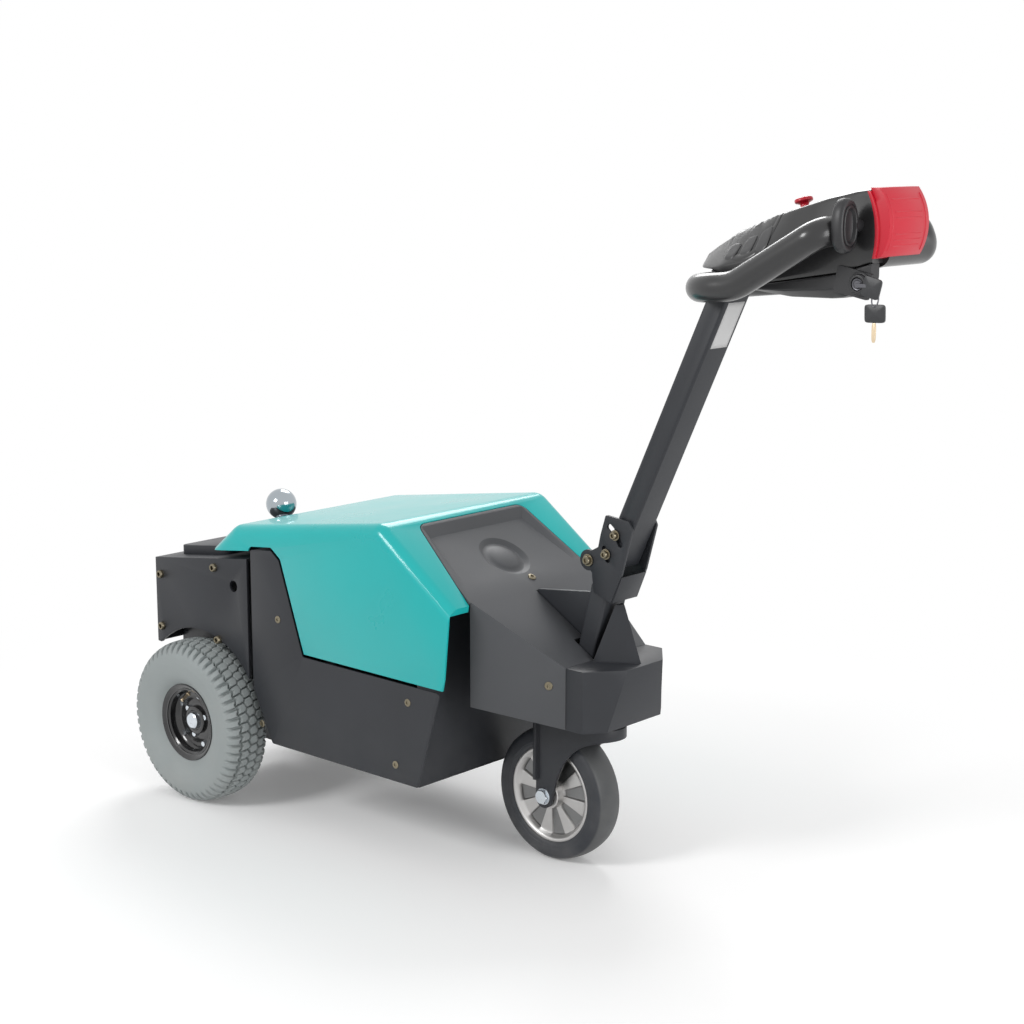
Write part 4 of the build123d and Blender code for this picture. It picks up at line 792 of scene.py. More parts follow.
@dataclass
class DriveWheel:
    """Air-filled drive wheel with a block tread, a deep black rim and its bolts."""

    shop: Workshop
    name: str
    sign: int
    radius: float = 0.130
    middle_y: float = 0.1845
    narrow_from: float = 0.027
    narrow_share: float = 0.45
    groove: float = 0.0060
    groove_edge: float = 1.7
    blocks: int = 54
    around: int = 864
    inner_line: float = 0.0080
    outer_line: float = 0.0235
    tread_edge: float = 0.0500
    line_swing: float = 0.0022
    line_half: float = 0.0011
    shoulder: float = 0.019
    shoulder_fade: float = 0.010
    bolt_rings: tuple = ((0.0245, 0.0082, 0.0080, 0.0042, (-50, 70, 190)),
                         (0.0405, 0.0068, 0.0078, 0.0044, (12, 84, 156, 228, 300)))

    @property
    def centre(self) -> Point:
        """Middle of the wheel."""
        return (AXLE_X, self.sign * self.middle_y, self.radius)

    @property
    def body(self) -> str:
        """Name of the body that the wheel's pieces ride on."""
        return f"drive_wheel_{self.name}"

    @property
    def out(self) -> Point:
        """Direction from the machine to the wheel's outer side."""
        return sideways(self.sign)

    def section(self) -> np.ndarray:
        """The tyre's section from bead to bead, fine over the tread and coarser down the sides.

        The half next to the machine is the outer half mirrored, and narrower past its tread.

        Returns:
            Array of shape (n, 2) with the distance along the axle and the radius.
        """
        line = np.array([(0.0, 130.0), (8.0, 129.9), (18.0, 129.1), (26.0, 127.1), (32.2, 123.8), (36.8, 119.2),
                         (39.6, 113.4), (41.0, 107.0), (41.7, 101.0), (41.8, 98.6), (42.3, 96.8), (41.6, 94.6),
                         (40.8, 88.0), (39.0, 80.5), (36.2, 73.2), (32.6, 67.4), (29.2, 63.6), (27.0, 60.6),
                         (26.0, 52.0)]) * MM
        share = np.concatenate([np.linspace(0, 0.44, 38), np.linspace(0.44, 1, 18)[1:]])
        half = MeshKit.smooth_line(line, share)
        inner = half[:0:-1].copy()
        past = inner[:, 0] - self.narrow_from
        inner[:, 0] = -np.where(past > 0, self.narrow_from + self.narrow_share * past, inner[:, 0])
        return np.vstack([inner, half])

    def build_tyre(self) -> None:
        """Tyre as one grid round the axle.

        Each point of the section moves inwards, square to the section, by the depth of the tread's
        grooves at its angle.
        """
        section = self.section()
        run = np.gradient(section, axis=0)
        run /= np.linalg.norm(run, axis=1)[:, None]
        outwards = np.stack([-run[:, 1], run[:, 0]], axis=1)
        depth = self.tread(section, MeshKit.angles(self.around) * self.blocks / (2 * np.pi))
        sunk = section - depth[..., None] * outwards
        points = MeshKit.revolve(sunk[..., 0], sunk[..., 1], self.centre, self.out, self.around)
        tyre = MeshKit.grid(f"tread_tyre_{self.name}", points, closed_u=True)
        self.shop.dress(tyre, self.body, "grey_tyre", replaces=(f"tyre_{self.name}",))

    def tread(self, section: np.ndarray, turn: np.ndarray) -> np.ndarray:
        """Depth of the tread's grooves over the grid.

        Four wavy lines part five rows of blocks: a line's place is its middle plus a swing times a
        triangle wave. A row's cross cuts stand half a block from its neighbour's and lean a little.
        A groove's depth falls to nothing at its edge value, in half widths, and is full from one less.
        The grooves fade out down the shoulder.

        Args:
            section: the section's points.
            turn: angle of each row, counted in blocks.

        Returns:
            Array of shape (rows, section points).
        """
        along = section[:, 0]
        wave = np.abs((turn % 1.0) - 0.5) * 4 - 1
        depth = np.zeros((len(turn), len(along)))
        inner, outer, edge = self.inner_line, self.outer_line, self.tread_edge
        for line in (-outer, -inner, inner, outer):
            gap = np.abs(along[None, :] - line - self.line_swing * wave[:, None] * np.sign(line))
            depth = np.maximum(depth, np.clip(self.groove_edge - gap / self.line_half, 0, 1))
        rows = ((-outer, -inner, 0.5, 0.06), (-inner, inner, 0.0, 0.06), (inner, outer, 0.5, 0.06),
                (-edge, -outer, 0.0, 0.13), (outer, edge, 0.0, 0.13))
        for low, high, shift, width in rows:
            share = (along - low) / (high - low)
            inside = (share > 0) & (share < 1)
            phase = (turn[:, None] + shift + 0.2 * (share - 0.5)[None, :]) % 1.0
            cut = np.clip(self.groove_edge - np.abs(phase - 0.5) / width, 0, 1)
            depth = np.maximum(depth, cut * inside[None, :])
        fade = np.clip((section[:, 1] - (self.radius - self.shoulder)) / self.shoulder_fade, 0, 1)
        return depth * fade[None, :] * self.groove

    def build_rim(self) -> None:
        """Rim as one turned profile: lip, deep barrel, drop centre and the dished disc."""
        profile = (
            (27.0, 62.0), (28.2, 62.4), (29.6, 61.8), (30.0, 60.6), (29.4, 58.4), (27.6, 55.4), (26.0, 53.2),
            (24.2, 50.6), (23.0, 49.2), (14.0, 48.4), (12.6, 47.6), (11.6, 46.2), (10.0, 44.6), (8.0, 43.4),
            (6.9, 41.0), (6.8, 36.0), (7.6, 33.6), (8.4, 31.0), (8.2, 24.0), (8.0, 16.2), (3.0, 16.2), (3.0, 44.0),
            (3.0, 49.0), (-30.0, 49.0), (-30.0, 62.0), (-27.0, 62.0), (-27.0, 52.0), (27.0, 52.0),
        )
        rim = MeshKit.turned(f"dished_rim_{self.name}", profile, self.centre, self.out, 144, closed=True)
        self.shop.dress(rim, self.body, "black_rim", replaces=(f"rim_{self.name}",))

    def spot(self, angle: float, radius: float, along: float) -> Point:
        """A place on the wheel's outer side.

        Args:
            angle: degrees from the top.
            radius: distance from the axle.
            along: distance outwards from the wheel's middle.

        Returns:
            The place.
        """
        x, y, z = self.centre
        turn = math.radians(angle)
        return (x + radius * math.sin(turn), y + self.sign * along, z + radius * math.cos(turn))

    def build_bolts(self) -> None:
        """Three hub bolts, five rim bolts, the axle's collar and domed bolt, and the valve stem."""
        screws = Screws(self.shop)
        small = []
        for radius, along, across, height, angles in self.bolt_rings:
            small += [screws.nut(self.spot(angle, radius, along), self.out, across, height) for angle in angles]
        self.shop.dress(MeshKit.join(f"rim_bolts_{self.name}", small), self.body, "zinc")
        ring = ((8.0, 12.0), (8.0, 23.0), (12.4, 23.0), (13.6, 22.2), (14.2, 20.8), (14.2, 16.6), (13.2, 15.4),
                (13.2, 12.0))
        collar = MeshKit.turned(f"axle_collar_{self.name}", ring, self.centre, self.out, 72, closed=True)
        self.shop.dress(collar, self.body, "black_rim")
        bolt = screws.head(self.spot(0, 0.0, 0.0136), self.out, 0.0138, 0.0066, 0.0042)
        bolt.name = f"axle_bolt_{self.name}"
        self.shop.dress(bolt, self.body, "zinc")
        stem = ((0.0, 3.6), (3.0, 3.6), (3.6, 2.6), (12.0, 2.4), (12.6, 2.6), (17.0, 2.6), (17.6, 2.2),
                (17.8, 0.0))
        base, lean = self.spot(-14, 0.0437, 0.0145), (0.0, 0.85 * self.sign, -0.5)
        valve = MeshKit.turned(f"valve_{self.name}", stem, base, lean, 32)
        self.shop.dress(valve, self.body, "black_rim", BRASS)

    def build(self) -> None:
        """Build and dress the wheel."""
        self.build_tyre()
        self.build_rim()
        self.build_bolts()


@dataclass
class Castor:
    """Swivel castor's wheel: rubber tyre with a step in its side, and a cast rim with pockets."""

    shop: Workshop
    centre: Point = ahead(598.0, 0.0, 100.0)
    tread_half: float = 0.0215
    pockets: int = 8
    pocket_from: float = 0.0226
    pocket_to: float = 0.0620
    steps: int = 384
    washer_y: float = 0.035
    nut_y: float = 0.0368

    def build_tyre(self) -> None:
        """Tyre as a turned profile: crown arc, bevelled edges, side wall with a shallow step.

        The attribute "tread" is 1 where the tyre has run.
        """
        crown = np.linspace(-1, 1, 25)
        top = np.stack([crown * 20.5, 100.0 - 2.9 * crown ** 2], axis=1)
        side = np.array([(22.4, 95.4), (23.8, 93.0), (24.6, 90.6), (24.9, 88.0), (24.9, 79.4), (24.4, 78.8),
                         (24.2, 76.0), (23.2, 73.4), (22.0, 72.0)])
        profile = np.vstack([side[::-1] * np.array([-1.0, 1.0]), top, side])
        tyre = MeshKit.turned("rubber_tyre", profile, self.centre, sideways(1), 192, closed=True)
        MeshKit.paint(tyre, "tread", lambda place: np.abs(place[:, 1]) < self.tread_half)
        self.shop.dress(tyre, "castor_wheel", "castor_rubber", replaces=("castor_tyre",))

    def build_rim(self) -> None:
        """Cast rim: eight raised sectors with flat faces and eight sunk ones between them.

        The web's height at an angle is the middle height plus a swing times a wave with flat tops
        and bottoms, faded to nothing at the hub and at the barrel.
        """
        wave = np.clip(7.0 * np.sin(MeshKit.angles(self.steps) * self.pockets), -1, 1)
        radius = np.array([10.05, 10.05, 19.4, 20.6, 22.0, 24.0, 34.0, 46.0, 58.0, 61.6, 62.6, 66.0, 67.6, 69.2,
                           70.6, 72.0, 72.0]) * MM
        height = np.array([0.0, 27.5, 27.5, 26.6, 16.0, 14.4, 14.0, 13.8, 13.6, 13.8, 16.0, 20.4, 21.6, 22.0, 22.0,
                           21.4, 0.0]) * MM
        swing = np.array([0, 0, 0, 0, 0.0, 1.6, 1.8, 1.8, 1.8, 1.6, 0.0, 0, 0, 0, 0, 0, 0]) * MM
        rise = height[None, :] + swing[None, :] * wave[:, None]
        full_rise = np.concatenate([rise, -rise[:, ::-1][:, 1:-1]], axis=1)
        full_radius = np.concatenate([radius, radius[::-1][1:-1]])
        points = MeshKit.revolve(full_rise, full_radius[None, :], self.centre, sideways(1), self.steps)
        rim = MeshKit.grid("pocketed_rim", points, closed_u=True, closed_v=True)
        MeshKit.paint(rim, "pocket", self.pocket_share)
        self.shop.dress(rim, "castor_wheel", "cast_aluminium", replaces=("castor_rim",))

    def pocket_share(self, place: np.ndarray) -> np.ndarray:
        """How far places lie in a pocket: the rim's wave upside down, between the hub and the barrel.

        Args:
            place: array of shape (n, 3).

        Returns:
            Array of shape (n,), from 0 to 1.
        """
        u, v, _ = MeshKit.basis(sideways(1))
        local = place - np.array(self.centre)
        reach, turn = np.hypot(local @ u, local @ v), np.arctan2(local @ v, local @ u)
        inside = (reach > self.pocket_from) & (reach < self.pocket_to)
        return np.clip(0.5 - 3.5 * np.sin(turn * self.pockets), 0, 1) * inside

    def build_axle(self) -> None:
        """Hexagonal bolt heads of the axle, with their washers and the rod between them."""
        screws = Screws(self.shop)
        x, _, z = self.centre
        washer = ((0.0, 12.4), (1.6, 12.4), (2.0, 12.0), (2.0, 0.0))
        rod = ((-35.5, 0.0), (-35.5, 9.9), (35.5, 9.9), (35.5, 0.0))
        heads = []
        for sign in (1, -1):
            heads.append(MeshKit.turned("washer", washer, (x, sign * self.washer_y, z), sideways(sign), 48))
            heads.append(screws.nut((x, sign * self.nut_y, z), sideways(sign), 0.019, 0.0052))
        heads.append(MeshKit.turned("rod", rod, self.centre, sideways(1), 48))
        axle = MeshKit.join("axle_bolt_castor", heads)
        self.shop.dress(axle, "castor_swivel", "zinc", replaces=("castor_axle",))

    def build(self) -> None:
        """Build and dress the castor wheel."""
        self.build_tyre()
        self.build_rim()
        self.build_axle()


@dataclass
class Chassis:
    """Sheet metal body: eased sheets and cover, the tow ball and the screws."""

    shop: Workshop
    sheets: tuple[str, ...] = (
        "side_panel_left", "side_panel_right", "rear_side_left", "rear_side_right", "rear_wall", "rear_deck",
        "hitch_plate", "front_shell", "nose_frame", "nose_front", "castor_plate", "lower_post", "post_gusset",
        "post_brace", "saddle", "castor_fork", "bulkhead", "chassis_tray", "drive_unit", "battery",
    )
    wall_y: float = 183.0
    panel_screws: Table = ((147.4, 151.2), (190.0, 324.3), (468.0, 248.2), (441.7, 149.6))
    box_screws: Table = ((-92.0, 353.0), (42.6, 383.4), (-92.0, 267.2), (48.1, 268.2))
    nose_screw: Point = (661.3, 97.5, 292.1)
    nose_taper: tuple[float, float] = (49.0, 136.0)
    tray_screw: tuple[float, float] = (534.7, 9.7)
    tray_front: tuple[float, float] = (685.0, 320.0)
    tray_slope: float = 31.1

    def build_sheets(self) -> None:
        """Ease the edges of every sheet and, a little wider, of the cover."""
        for node in self.sheets:
            self.shop.eased(node)
        self.shop.eased("cover", 0.001)

    def build_ball(self) -> None:
        """Tow ball, neck and collar as one turned profile on the deck's tilted axis."""
        lean = math.radians(7.3)
        foot_height = 392.6 + 14.5
        ball, neck, rise, collar = 25.0, 12.0, 46.3, 22.0
        angle = np.linspace(math.pi - math.asin(neck / ball), 0.0, 40)
        sphere = np.stack([rise + ball * np.cos(angle), ball * np.sin(angle)], axis=1)
        foot = np.array([(-0.5, collar), (3.4, collar), (5.2, collar - 1.0), (6.0, collar - 3.0), (6.4, 17.0),
                         (8.0, 14.0), (11.0, neck)])
        profile = np.vstack([foot, sphere])
        axis = (-math.sin(lean), 0.0, math.cos(lean))
        piece = MeshKit.turned("turned_ball", profile, ahead(0.0, 0.0, foot_height), axis, 96)
        self.shop.dress(piece, "chassis", "polished_chrome", replaces=("tow_ball",))

    def build_screws(self) -> None:
        """Socket screws of the side panels, the rear box, the nose and the shell."""
        screws = Screws(self.shop)
        lean = math.atan2(*self.nose_taper)
        for side, sign in (("left", 1), ("right", -1)):
            for name, table, sizes in (("panel", self.panel_screws, (0.0058, 0.0012, 0.0022)),
                                       ("box", self.box_screws, (0.0066, 0.0060, 0.0030))):
                rows = tuple((ahead(x, sign * self.wall_y, z), sideways(sign)) for x, z in table)
                screws.row(f"{name}_screws_{side}", "chassis", rows, *sizes)
            x, y, z = self.nose_screw
            wall = (math.sin(lean), sign * math.cos(lean), 0.0)
            place = ahead(x, sign * y, z)
            screws.row(f"nose_screw_{side}", "chassis", ((place, wall),), 0.0062, 0.0014, 0.0022)
        fall = math.radians(self.tray_slope)
        (x, y), (front, height) = self.tray_screw, self.tray_front
        place = ahead(x, y, height + (front - x) * math.tan(fall))
        rows = ((place, (math.sin(fall), 0.0, math.cos(fall))),)
        screws.row("shell_screw", "chassis", rows, 0.0062, 0.0020, 0.0024)

    def build(self) -> None:
        """Build and dress the chassis."""
        self.build_sheets()
        self.build_ball()
        self.build_screws()


@dataclass
class HeadShell:
    """Shells of the tiller's head: the upper one has a pointed root, two facets and a ridge.

    Each table gives a size in millimetres by the distance ahead of the axle, but for `face`, which
    gives the front's distance by the height.
    """

    top: Table = ((848, 886), (852, 894), (870, 906), (890, 917), (905, 925), (930, 934), (955, 942), (991, 954),
                  (1031, 965), (1060, 973), (1099, 981), (1118, 983), (1131, 984))
    half_width: Table = ((848, 4), (852, 14), (860, 24), (870, 31), (885, 39), (906, 46), (1131, 46))
    crease: Table = ((848, 880), (885, 880), (906, 884), (927, 889), (954, 896), (1000, 908), (1050, 920),
                     (1085, 926), (1118, 929), (1131, 930))
    ridge: Table = ((848, 0.5), (906, 4), (930, 8), (960, 16), (985, 24), (1000, 28), (1040, 34), (1127, 40))
    seam: Table = ((848, 878), (884, 878), (962, 863), (1078, 882), (1127, 896))
    face: Table = ((860, 1122), (896, 1127), (918, 1130), (940, 1131), (962, 1127), (983, 1118))
    lean_from: float = 1070.0
    front: float = 1131.0
    belly: Table = ((886, 872), (888, 864), (893, 860), (900, 858), (1000, 848), (1060, 849), (1078, 851),
                    (1104, 859), (1126, 868))
    near_wall: Table = ((886, -40), (890, -43), (897, -44.5), (1127, -44.5))
    far_wall: Table = ((886, 40), (890, 43), (897, 44.5), (1066, 44.5), (1076, 30), (1090, -18), (1126, -26))

    @staticmethod
    def read(table: Table, at: np.ndarray) -> np.ndarray:
        """A table's sizes at some distances, on straight lines between its rows."""
        places, sizes = np.array(table, float).T
        return np.interp(at, places, sizes)

    def surface(self, x: np.ndarray, y: np.ndarray) -> np.ndarray:
        """Height of the shell's top over a place: level on the ridge, then straight down to the crease.

        Args:
            x: distances ahead of the axle.
            y: distances to the left.

        Returns:
            Heights in millimetres.
        """
        ridge, half = self.read(self.ridge, x), self.read(self.half_width, x)
        top, crease = self.read(self.top, x), self.read(self.crease, x)
        fall = np.clip((np.abs(y) - ridge) / np.maximum(half - ridge, 0.5), 0, 1)
        return top + (crease - top) * fall

    @staticmethod
    def runs(corners: tuple, steps: tuple[int, ...]) -> np.ndarray:
        """Straight runs from corner to corner of a section, for each distance.

        Args:
            corners: each corner's places to the left and heights.
            steps: number of points in each run, whose end is left out.

        Returns:
            Array of shape (rows, points, 2).
        """
        stretches = []
        for (y0, z0), (y1, z1), count in zip(corners[:-1], corners[1:], steps):
            share = np.arange(count) / count
            stretches.append(np.stack([y0[:, None] + (y1 - y0)[:, None] * share,
                                       z0[:, None] + (z1 - z0)[:, None] * share], axis=-1))
        return np.concatenate(stretches, axis=1)

    @staticmethod
    def soften(section: np.ndarray) -> np.ndarray:
        """Smooth a closed section's corners: the mean with both neighbours, twice.

        Args:
            section: array of shape (rows, points, 2).

        Returns:
            Array of the same shape.
        """
        for _ in range(2):
            section = (np.roll(section, 1, axis=1) + 2 * section + np.roll(section, -1, axis=1)) / 4
        return section

    @staticmethod
    def capped(x: np.ndarray, section: np.ndarray, ringed: bool = False) -> np.ndarray:
        """Sections in the machine's frame, closed at both ends by the middles of the end rows.

        Args:
            x: distances ahead of the axle, of the section's shape or one for each row.
            section: places to the left and heights.
            ringed: whether a row stands half way to the front's middle.

        Returns:
            Array of shape (rows, points, 3).
        """
        x = np.broadcast_to(x, section.shape[:2])
        rows = np.stack([AXLE_X + x * MM, section[..., 0] * MM, section[..., 1] * MM], axis=-1)
        first, last = rows[:1].mean(axis=1, keepdims=True), rows[-1:].mean(axis=1, keepdims=True)
        half_way = [0.5 * (rows[-1:] + last)] if ringed else []
        return np.concatenate([rows[:1] * 0 + first, rows, *half_way, rows[-1:] * 0 + last])

    def shell(self) -> np.ndarray:
        """Grid of the whole shell: one closed section for each distance, with its corners smoothed.

        A section runs from the seam's middle out and up the flank, over the facet and along the
        ridge, then back the other way. The last rows lean until they lie on the front's arc.

        Returns:
            Array of shape (rows, points, 3).
        """
        x = np.concatenate([[848, 849, 850.5, 852, 855, 858, 862, 866, 871, 877, 884, 891, 898, 906],
                            np.linspace(912, 1131, 44)])
        half, ridge = self.read(self.half_width, x), self.read(self.ridge, x)
        seam, crease, top = self.read(self.seam, x), self.read(self.crease, x), self.read(self.top, x)
        zero = np.zeros_like(x)
        corners = ((zero, seam), (half - 1.0, seam), (half, crease), (ridge, top), (zero, top + 0.8))
        half_section = np.concatenate([self.runs(corners, (14, 14, 18, 14)),
                                       np.stack(corners[-1], axis=-1)[:, None]], axis=1)
        mirrored = half_section[:, -2:0:-1] * np.array([-1.0, 1.0])
        section = self.soften(np.concatenate([half_section, mirrored], axis=1))
        lean = np.clip((x - self.lean_from) / (self.front - self.lean_from), 0, 1)[:, None] ** 2
        face = self.read(self.face, section[..., 1]) - self.front
        return self.capped(x[:, None] + lean * face, section, ringed=True)

    def lower(self) -> np.ndarray:
        """Grid of the lower shell: a closed section for each distance, with its corners smoothed.

        Ahead of the belly's end the far wall comes in towards the near one, so that only the lock's
        housing is left there.

        Returns:
            Array of shape (rows, points, 3).
        """
        x = np.concatenate([[886, 887, 889, 892, 897], np.linspace(903, 1126, 60)])
        floor = self.read(self.belly, x)
        roof = np.maximum(self.read(self.seam, x), floor + 1.0)
        near, far = self.read(self.near_wall, x), self.read(self.far_wall, x)
        shoulder = floor + 0.42 * (roof - floor)
        inner, outer = 0.80 * near + 0.20 * far, 0.20 * near + 0.80 * far
        corners = ((near, roof), (near, shoulder), (inner, floor), (outer, floor), (far, shoulder), (far, roof))
        section = self.soften(self.runs(corners + corners[:1], (12,) * len(corners)))
        return self.capped(x[:, None], section)

    def patch(self, centre: tuple[float, float], half: tuple[float, float], power: float, rows: Table,
              turn: float = 0.0) -> np.ndarray:
        """A low piece that follows the shell's top: its rings are like ovals in plan.

        Args:
            centre: place ahead of the axle and to the left.
            half: half sizes along and across.
            power: 2 for an ellipse, more for a rounded rectangle.
            rows: each ring's lift over the shell and its share of the half sizes.
            turn: turn in plan, in degrees.

        Returns:
            Array of shape (segments, rows, 3).
        """
        flat = MeshKit.oval((0.0, 0.0, 0.0), (0.0, 0.0, 1.0), half, rows, power, turn, 96)
        x, y = centre[0] + flat[..., 0], centre[1] + flat[..., 1]
        z = self.surface(x, y) + flat[..., 2]
        return np.stack([AXLE_X + x * MM, y * MM, z * MM], axis=-1)


@dataclass
class Controls:
    """The head's shells, keypad, stop knob, thumb paddles, key lock, keys and the red pad's ribs."""

    shop: Workshop
    shell: HeadShell = field(default_factory=HeadShell)
    knob: tuple[float, float] = (985.0, 24.0)
    buttons: tuple[Point, ...] = ((913.0, -32.0, -14.0), (937.5, -32.5, -8.0), (962.0, -34.0, -4.0))
    lock: tuple[float, float] = (1113.0, 871.0)
    lock_side: float = 47.0
    rib_heights: tuple[float, ...] = (917.0, 924.0, 931.0, 950.0, 957.0, 972.0)
    rib_y: float = 38.0

    def build_keypad(self) -> None:
        """Oval panel that follows the shell's facets, with three raised buttons on its near one."""
        panel = ((-3.0, 0.0), (-3.0, 1.0), (0.6, 1.0), (1.4, 0.97), (1.5, 0.9), (0.7, 0.87), (0.7, 0.84), (1.2, 0.81),
                 (1.2, 0.62), (1.2, 0.42), (1.2, 0.22), (1.2, 0.0))
        points = self.shell.patch((938.0, -2.0), (48.0, 43.0), 2.2, panel)
        plate = MeshKit.grid("keypad_panel", points, closed_u=True)
        self.shop.dress(plate, "tiller", "black_gloss_plastic", replaces=("keypad",))
        rows = ((-1.0, 0.0), (-1.0, 1.0), (1.9, 1.0), (2.9, 0.93), (3.2, 0.84), (3.0, 0.5), (2.9, 0.2), (2.9, 0.0))
        keys = [MeshKit.grid("button", self.shell.patch((x, y), (9.6, 8.4), 3.6, rows, turn), closed_u=True)
                for x, y, turn in self.buttons]
        self.shop.dress(MeshKit.join("keypad_buttons", keys), "tiller", "black_gloss_plastic", BUTTON)

    def build_knob(self) -> None:
        """Mushroom knob turned about its stem, which stands on the ridge's edge."""
        profile = (
            (-8.0, 0.0), (-8.0, 8.4), (1.0, 8.4), (3.0, 7.2), (5.0, 6.0), (8.0, 5.6), (9.6, 6.4), (11.0, 9.4),
            (11.6, 11.0), (12.6, 11.8), (14.4, 12.0), (16.0, 11.4), (16.8, 9.8), (16.9, 6.0), (16.9, 0.0),
        )
        x, y = self.knob
        place = ahead(x, y, float(self.shell.surface(np.array(x), np.array(y))) + 1.0)
        knob = MeshKit.turned("mushroom_knob", profile, place, (-0.30, 0.05, 0.95), 64)
        self.shop.dress(knob, "tiller", "red_plastic", replaces=("stop_knob",))

    def build_paddles(self) -> None:
        """Thumb paddles: an oval collar with a raised ring round its dish, on a short stub."""
        rows = np.array([(-9.0, 0.0), (-9.0, 0.70), (-8.0, 0.84), (-5.0, 0.96), (-1.0, 1.0), (4.0, 1.0), (7.0, 0.96),
                         (8.4, 0.90), (8.8, 0.84), (8.8, 0.80), (7.6, 0.78), (7.6, 0.74), (9.8, 0.71), (10.2, 0.67),
                         (9.6, 0.63), (5.6, 0.56), (4.4, 0.40), (4.0, 0.20), (3.9, 0.0)])
        rows[:, 0] *= MM
        stub = ((0.0, 0.0), (0.0, 8.0), (16.0, 8.0), (16.0, 0.0))
        for side, sign, middle, height, half in (("left", 1, 60.5, 952.0, (20.5, 11.5)),
                                                 ("right", -1, 71.5, 941.0, (33.0, 19.5))):
            centre, size = ahead(1103.0, sign * middle, height), (half[0] * MM, half[1] * MM)
            points = MeshKit.oval(centre, (1.0, 0.0, 0.0), size, rows, 2.3)
            collar = MeshKit.grid("collar", points, closed_u=True)
            rod = MeshKit.turned("stub", stub, ahead(1106.0, sign * 43.0, height), sideways(sign), 40)
            paddle = MeshKit.join(f"thumb_paddle_{side}", [collar, rod])
            self.shop.dress(paddle, "tiller", "black_matte_plastic", replaces=(f"throttle_{side}",))

    def build_lock(self) -> None:
        """Slanted panel on the lower shell with the lock's housing, ring and core."""
        out = sideways(-1)
        thin = ((-0.002, 0.0), (-0.002, 1.0), (0.0012, 1.0), (0.0020, 0.985), (0.0020, 0.0))
        place = ahead(1102.0, -45.0, 872.0)
        outline = MeshKit.oval(place, out, (0.0165, 0.0255), thin, 14.0, -11.0, 96)
        panel = MeshKit.grid("panel", outline, closed_u=True)
        x, z = self.lock
        base = ahead(x, -self.lock_side, z)
        housing = ((-1.0, 0.0), (-1.0, 15.0), (1.6, 15.0), (2.4, 14.2), (2.8, 12.8), (6.4, 12.4), (7.6, 11.4),
                   (8.0, 10.2), (7.8, 8.6), (5.6, 8.0), (5.6, 0.0))
        case = MeshKit.turned("housing", housing, base, out, 72)
        self.shop.dress(MeshKit.join("key_lock", [panel, case]), "tiller", "black_matte_plastic",
                        replaces=("key_switch",))
        core = ((5.0, 0.0), (5.0, 7.6), (7.0, 7.6), (7.6, 7.0), (7.2, 5.4), (6.8, 5.0), (7.4, 4.4), (7.4, 0.0))
        plug = MeshKit.turned("lock_core", core, base, out, 48)
        self.shop.dress(plug, "tiller", "key_metal", KEY_RING)

    def build_keys(self) -> None:
        """Two keys with black bows, a pale blade and the split ring that holds them."""
        out = sideways(-1)
        side = -self.lock_side - 8.0
        flat = ((0.0, 0.0), (0.0, 0.94), (0.0004, 1.0), (0.0030, 1.0), (0.0034, 0.94), (0.0034, 0.0))
        bows = []
        for x, z, half, turn in ((1135.0, 868.0, (0.0125, 0.0125), -14.0),
                                 (1141.0, 837.5, (0.0110, 0.0140), 2.0)):
            place = ahead(x, side, z)
            bows.append(MeshKit.grid("bow", MeshKit.oval(place, out, half, flat, 7.0, turn), closed_u=True))
        self.shop.dress(MeshKit.join("key_bows", bows), "tiller", "key_metal", KEY_BOW, replaces=("keys",))
        stem = MeshKit.oval(ahead(1120.0, side - 0.4, 870.0), out, (0.0024, 0.0080), flat, 8.0)
        shank = MeshKit.grid("key_shank", stem, closed_u=True)
        self.shop.dress(shank, "tiller", "key_metal", KEY_RING)
        blade = ((0.0, 0.0), (0.0, 0.9), (0.0003, 1.0), (0.0017, 1.0), (0.0020, 0.9), (0.0020, 0.0))
        pale = MeshKit.oval(ahead(1140.0, side - 0.6, 815.0), out, (0.0125, 0.0028), blade, 3.0)
        self.shop.dress(MeshKit.grid("key_blade", pale, closed_u=True), "tiller", "key_metal", BRASS)
        angle = np.linspace(0, 2 * np.pi, 49)[:-1]
        loop = np.stack([AXLE_X + (1140.4 + 4.6 * np.sin(angle)) * MM, (side - 1.7 + 1.5 * np.cos(angle)) * MM,
                         (854.5 + 9.0 * np.cos(angle)) * MM], axis=1)
        path = np.vstack([loop[-1:], loop, loop[:2]])
        tube = MeshKit.tube(path, np.full(len(path), 0.0009), 12)[1:-2]
        ring = MeshKit.grid("key_loop", tube, closed_u=True, closed_v=True)
        self.shop.dress(ring, "tiller", "key_metal", KEY_RING)

    def build_ribs(self) -> None:
        """Shallow ribs of the red pad: thin rounds that follow its arc, down its sides and across it."""
        start, middle, end = np.array([1139.0, 904.0]), np.array([1150.0, 944.0]), np.array([1134.0, 986.0])
        chords = 2 * np.array([middle - start, end - start])
        centre = np.linalg.solve(chords, [middle @ middle - start @ start, end @ end - start @ start])
        radius = float(np.linalg.norm(start - centre))
        pieces = []
        for height in self.rib_heights:
            y = np.linspace(-35.0, 35.0, 15)
            x = np.full(15, centre[0] + math.sqrt(radius ** 2 - (height - centre[1]) ** 2) - 0.5)
            pieces.append(np.stack([x, y, np.full(15, height)], axis=1))
        for y in (-self.rib_y, self.rib_y):
            z = np.linspace(908.0, 981.0, 25)
            x = centre[0] + np.sqrt(radius ** 2 - (z - centre[1]) ** 2) - 0.5
            pieces.append(np.stack([x, np.full(25, y), z], axis=1))
        ribs = []
        for path in pieces:
            place = np.array([AXLE_X, 0.0, 0.0]) + path * MM
            size = np.full(len(place), 0.0010)
            size[[0, -1]] = 0.0
            ribs.append(MeshKit.grid("rib", MeshKit.tube(place, size, 12), closed_v=True))
        self.shop.dress(MeshKit.join("pad_ribs", ribs), "tiller", "red_plastic")

